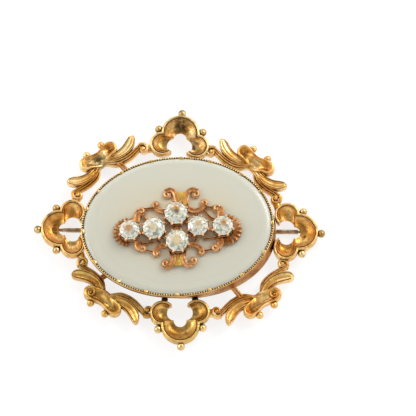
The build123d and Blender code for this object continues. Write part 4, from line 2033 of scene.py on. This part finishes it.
    @staticmethod
    def grind(mesh: bmesh.types.BMesh, point: Vector, normal: Vector) -> None:
        """Grinds one flat facet on a stone.

        Args:
            mesh: the stone.
            point: a point of the facet's plane.
            normal: the facet's outward direction.
        """
        geometry = mesh.verts[:] + mesh.edges[:] + mesh.faces[:]
        done = bmesh.ops.bisect_plane(
            mesh, geom=geometry, dist=1e-5, plane_co=point, plane_no=normal, clear_outer=True
        )
        edges = [part for part in done["geom_cut"] if isinstance(part, bmesh.types.BMEdge)]
        if len(edges) > 2:
            bmesh.ops.contextual_create(mesh, geom=edges)

    def rivet(self) -> bmesh.types.BMesh:
        """The hidden post through the agate and its riveted head.

        Returns:
            The post's mesh.
        """
        back = self.agate_bottom - self.plate_bottom
        rows = ((0.6, 0.3), (0.6, back), (1.1, back), (1.1, back - 0.25), (0.8, back - 0.4))
        return turning([(0.0, 0.3), *rows, (0.0, back - 0.4)], 24)

    def necks(self) -> None:
        """Adds the two matted plates between the paired scrolls."""
        casting = Casting()
        for near, far in self.NECKS:
            path = [self.spot(*near).lerp(self.spot(*far), n / 10) for n in range(11)]
            casting.add(bar(path, self.neck_outline))
        casting.move(self.place())
        casting.cast("ornament_necks", GREEN_GOLD.material(), Slot.ROSE_GOLD, "rose_ornament")

    def neck_outline(self, share: float) -> Outline:
        """The outline of a neck part of the way along it.

        Args:
            share: the share of the way from the stones outwards.

        Returns:
            The outline, waisted in the middle and stepped in at the end.
        """
        waist = 0.62 + 0.38 * (2 * share - 1) ** 2
        half = self.neck_width / 2 * waist * (1 if share < 0.95 else 0.7)
        face = ((half, 0.46), (half * 0.5, 0.5), (-half * 0.5, 0.5), (-half, 0.46))
        return [(-half, 0.1), (half, 0.1), *face]


# Struts, hinge and catch


@dataclass(frozen=True)
class Fittings:
    """The struts between frame and setting, the ears of the pin's hinge and its catch."""

    oval: OvalPlan = OvalPlan()
    strut_r: float = 0.33
    strut_apart: float = 0.35
    strut_height: float = 2.85
    feet: tuple[Vector, ...] = (
        plan(-14.63, 16.62),
        plan(19.12, 10.65),
        plan(-18.39, -12.54),
        plan(14.82, -17.0),
    )
    lean_share: float = 0.725
    lean: Pair = (1.0, 0.55)
    ear: tuple[Vector, Vector] = (plan(30.3, 1.58, 1.22), plan(1.6, 0.6, 2.44))
    cheek: tuple[Vector, Vector] = (plan(-29.9, 1.0, 1.22), plan(1.8, 0.8, 2.44))
    roof: tuple[Vector, Vector] = (plan(-29.9, 0, 2.1), plan(1.8, 1.6, 0.68))
    softening: float = 0.08
    solder_and_shadow: tuple[Vector, Vector] = (plan(-3.3, -17.75, 2.9), plan(3.9, -17.65, 2.9))
    solder_and_shadow_r: tuple[float, float, float] = (0.8, 0.64, 0.6)

    def struts(self, casting: Casting) -> None:
        """Adds the pairs of wires.

        Args:
            casting: the piece they join.
        """
        hub = self.oval.place() @ plan(self.lean[0] * self.lean_share, self.lean[1] * self.lean_share)
        hub.z = 0
        for foot in self.feet:
            way = foot - hub
            turned = Matrix.Rotation(math.radians(-self.oval.turn), 3, "Z") @ way
            across = turned.x / (self.oval.half_length - 0.2)
            share = 1 / math.hypot(across, turned.y / (self.oval.half_width - 0.2))
            side = plan(-way.y, way.x).normalized() * self.strut_apart
            for sign in (-1, 1):
                ends = [hub + way * s + side * sign + plan(0, 0, self.strut_height) for s in (share, 1.0)]
                path = [ends[0].lerp(ends[1], n / 6) for n in range(7)]
                casting.add(wire(path, lambda s: self.strut_r, 12))

    def blocks(self, casting: Casting) -> None:
        """Adds the ears that carry the pin's rivet, and the channel that covers the pin near its point.

        Args:
            casting: the piece they join.
        """
        for spot, size in (self.ear, self.cheek):
            for side in (-1, 1):
                place = Matrix.Translation((spot.x, side * spot.y, spot.z))
                casting.add(soft_block(size, self.softening), place)
        spot, size = self.roof
        casting.add(soft_block(size, self.softening), Matrix.Translation(spot))

    def build(self) -> None:
        """Builds the fittings and the two dark bits of solder, which also paint the shadow where the bottom
        lobes meet the setting.
        """
        casting, solder_and_shadow = Casting(), Casting()
        self.struts(casting)
        self.blocks(casting)
        cast_mount(casting, "struts_and_fittings", STRUT_GOLD)
        # Near-black blobs: solder, and painted shadow where the bottom trefoil's lobes meet the setting
        for spot in self.solder_and_shadow:
            squash = Matrix.Diagonal((*self.solder_and_shadow_r, 1))
            solder_and_shadow.add(ball(plan(0, 0), 1, 16), Matrix.Translation(spot) @ squash)
        cast_mount(solder_and_shadow, "solder_and_shadow", SOLDER_AND_SHADOW)


# The studio


@dataclass(frozen=True)
class Studio:
    """The board, the lights and the camera."""

    tilt: float = 19.5
    roll: float = 0.45
    distance: float = 0.9
    field: float = 0.099
    aim: tuple[float, float, float] = (6.76, 4.91, 3.95)
    sensor: float = 36
    clip: Pair = (0.01, 10)
    board_half: float = 1.5
    front: Pair = (-0.9, 0.2)
    front_light: float = 0.62
    tent: tuple[Pair, ...] = ((0.0, 0.9), (0.25, 1.3), (0.6, 1.5), (0.78, 0.85), (0.92, 0.42), (1.0, 0.34))

    def camera(self) -> None:
        """Puts the camera at the photograph's angle."""
        lens = bpy.data.cameras.new("camera")
        lens.sensor_width = self.sensor
        lens.lens = self.sensor * self.distance / self.field
        lens.clip_start, lens.clip_end = self.clip
        view = in_scene("camera", lens)
        tilt = math.radians(self.tilt)
        aim = Vector(self.aim) * MM
        spot = aim + Vector((0, -math.sin(tilt), math.cos(tilt))) * self.distance
        turn = Matrix.Rotation(tilt, 4, "X") @ Matrix.Rotation(math.radians(self.roll), 4, "Z")
        view.matrix_world = Matrix.Translation(spot) @ turn
        bpy.context.scene.camera = view

    def lamp(
        self, name: str, place: tuple[float, float, float], size: float, power: float, tone: str
    ) -> None:
        """Adds a soft lamp that faces the brooch.

        Args:
            name: the lamp's name.
            place: where it hangs, in metres.
            size: width of its square face.
            power: its power in watts.
            tone: its colour.
        """
        light = bpy.data.lights.new(name, "AREA")
        light.shape = "SQUARE"
        light.size = size
        light.energy = power
        light.color = linear(tone)[:3]
        lamp = in_scene(name, light)
        spot = Vector(place)
        lamp.matrix_world = Matrix.Translation(spot) @ spot.to_track_quat("Z", "Y").to_matrix().to_4x4()

    def surround(self) -> None:
        """Lights the studio from all round: a pale tent with a dimmer top and front."""
        world = bpy.data.worlds.new("tent")
        bpy.context.scene.world = world
        world.use_nodes = True
        tree = world.node_tree
        tree.nodes.clear()
        way = node(tree, "ShaderNodeTexCoord").outputs["Generated"]
        axes = node(tree, "ShaderNodeSeparateXYZ", {"Vector": way}).outputs
        front = spread(axes["Y"], *self.front, start=self.front_light)
        bands = node(tree, "ShaderNodeValToRGB", {"Fac": axes["Z"]})
        ramp = bands.color_ramp
        while len(ramp.elements) < len(self.tent):
            ramp.elements.new(0.5)
        for element, (spot, tone) in zip(ramp.elements, self.tent):
            element.position = spot
            element.color = (tone, tone, tone, 1)
        background = node(tree, "ShaderNodeBackground", {"Color": bands.outputs["Color"], "Strength": front})
        node(tree, "ShaderNodeOutputWorld", {"Surface": background.outputs[0]})

    def build(self) -> None:
        """Builds the studio: the board as the stage, the camera, the tent and two lamps."""
        mesh = bmesh.new()
        bmesh.ops.create_grid(mesh, x_segments=1, y_segments=1, size=self.board_half)
        board = bpy.data.meshes.new("board")
        mesh.to_mesh(board)
        mesh.free()
        board.materials.append(LightTable().material())
        in_scene("board", board)
        self.camera()
        self.surround()
        self.lamp("key", (0.45, 0.4, 0.55), 0.35, 2.2, "#FFFFFF")
        self.lamp("fill", (-0.6, 0.05, 0.4), 0.4, 1.0, "#FFFFFF")
        scene = bpy.context.scene
        scene.view_settings.view_transform = "Standard"
        scene.view_settings.look = "None"
        scene.view_settings.exposure = 0.0


# Putting it together


def dress(frame: dict) -> None:
    """Gives the nodes that stay their finishes.

    Args:
        frame: the loaded frame.
    """
    pin = PIN_METAL.material()
    for name in ("pin_stem", "hinge_rivet"):
        piece = frame["nodes"][name]
        piece.data.materials.clear()
        piece.data.materials.append(pin)


def main() -> None:
    """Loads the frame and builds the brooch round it."""
    logging.basicConfig(level=logging.INFO, format="%(message)s")
    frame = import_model()
    Studio().build()
    top_balls = replace(BALL_GOLD, stains=((0.2, 29.9, 1.1),))
    left_balls = replace(BALL_GOLD, stains=((-33.7, 0.2, 0.8),))
    top = replace(TOP_GOLD, stains=((3.2, 20.6, 0.7), (0.1, 26.4, 2.4)))
    left = replace(RICH_GOLD, stains=((-31.2, 3.6, 1.3), (-26.2, 6.9, 0.8)))
    trefoils = (
        Trefoil("trefoil_top", (0.02, 23.96, -4), top, top_balls),
        Trefoil("trefoil_bottom", (0.45, -23.97, 182.4), DARK_GOLD, BALL_GOLD),
        Trefoil("trefoil_left", (-28.33, -0.31, 91.3), left, left_balls),
        Trefoil("trefoil_right", (28.38, -0.74, -91.9), RICH_GOLD, BALL_GOLD),
    )
    for trefoil in trefoils:
        trefoil.build()
    upper_left = replace(PALE_GOLD, dirt_and_shade="#2E2A14", stains=((-19.3, 16.6, 2.1),))
    sections = (
        ScrollSection("scrolls_upper_left", -1, 1, (0.53, -0.15), upper_left, (False, False)),
        ScrollSection("scrolls_upper_right", 1, 1, (-0.96, -0.77), PALE_GOLD, (False, False)),
        ScrollSection("scrolls_lower_left", -1, -1, (-1.07, 0.15), DARK_GOLD, (False, True)),
        ScrollSection("scrolls_lower_right", 1, -1, (0.72, 0.23), RICH_GOLD, (False, True)),
    )
    for section in sections:
        section.build()
    BoxSetting().build()
    AgatePlaque().build()
    Ornament().build()
    Fittings().build()
    dress(frame)


if __name__ == "__main__":
    main()
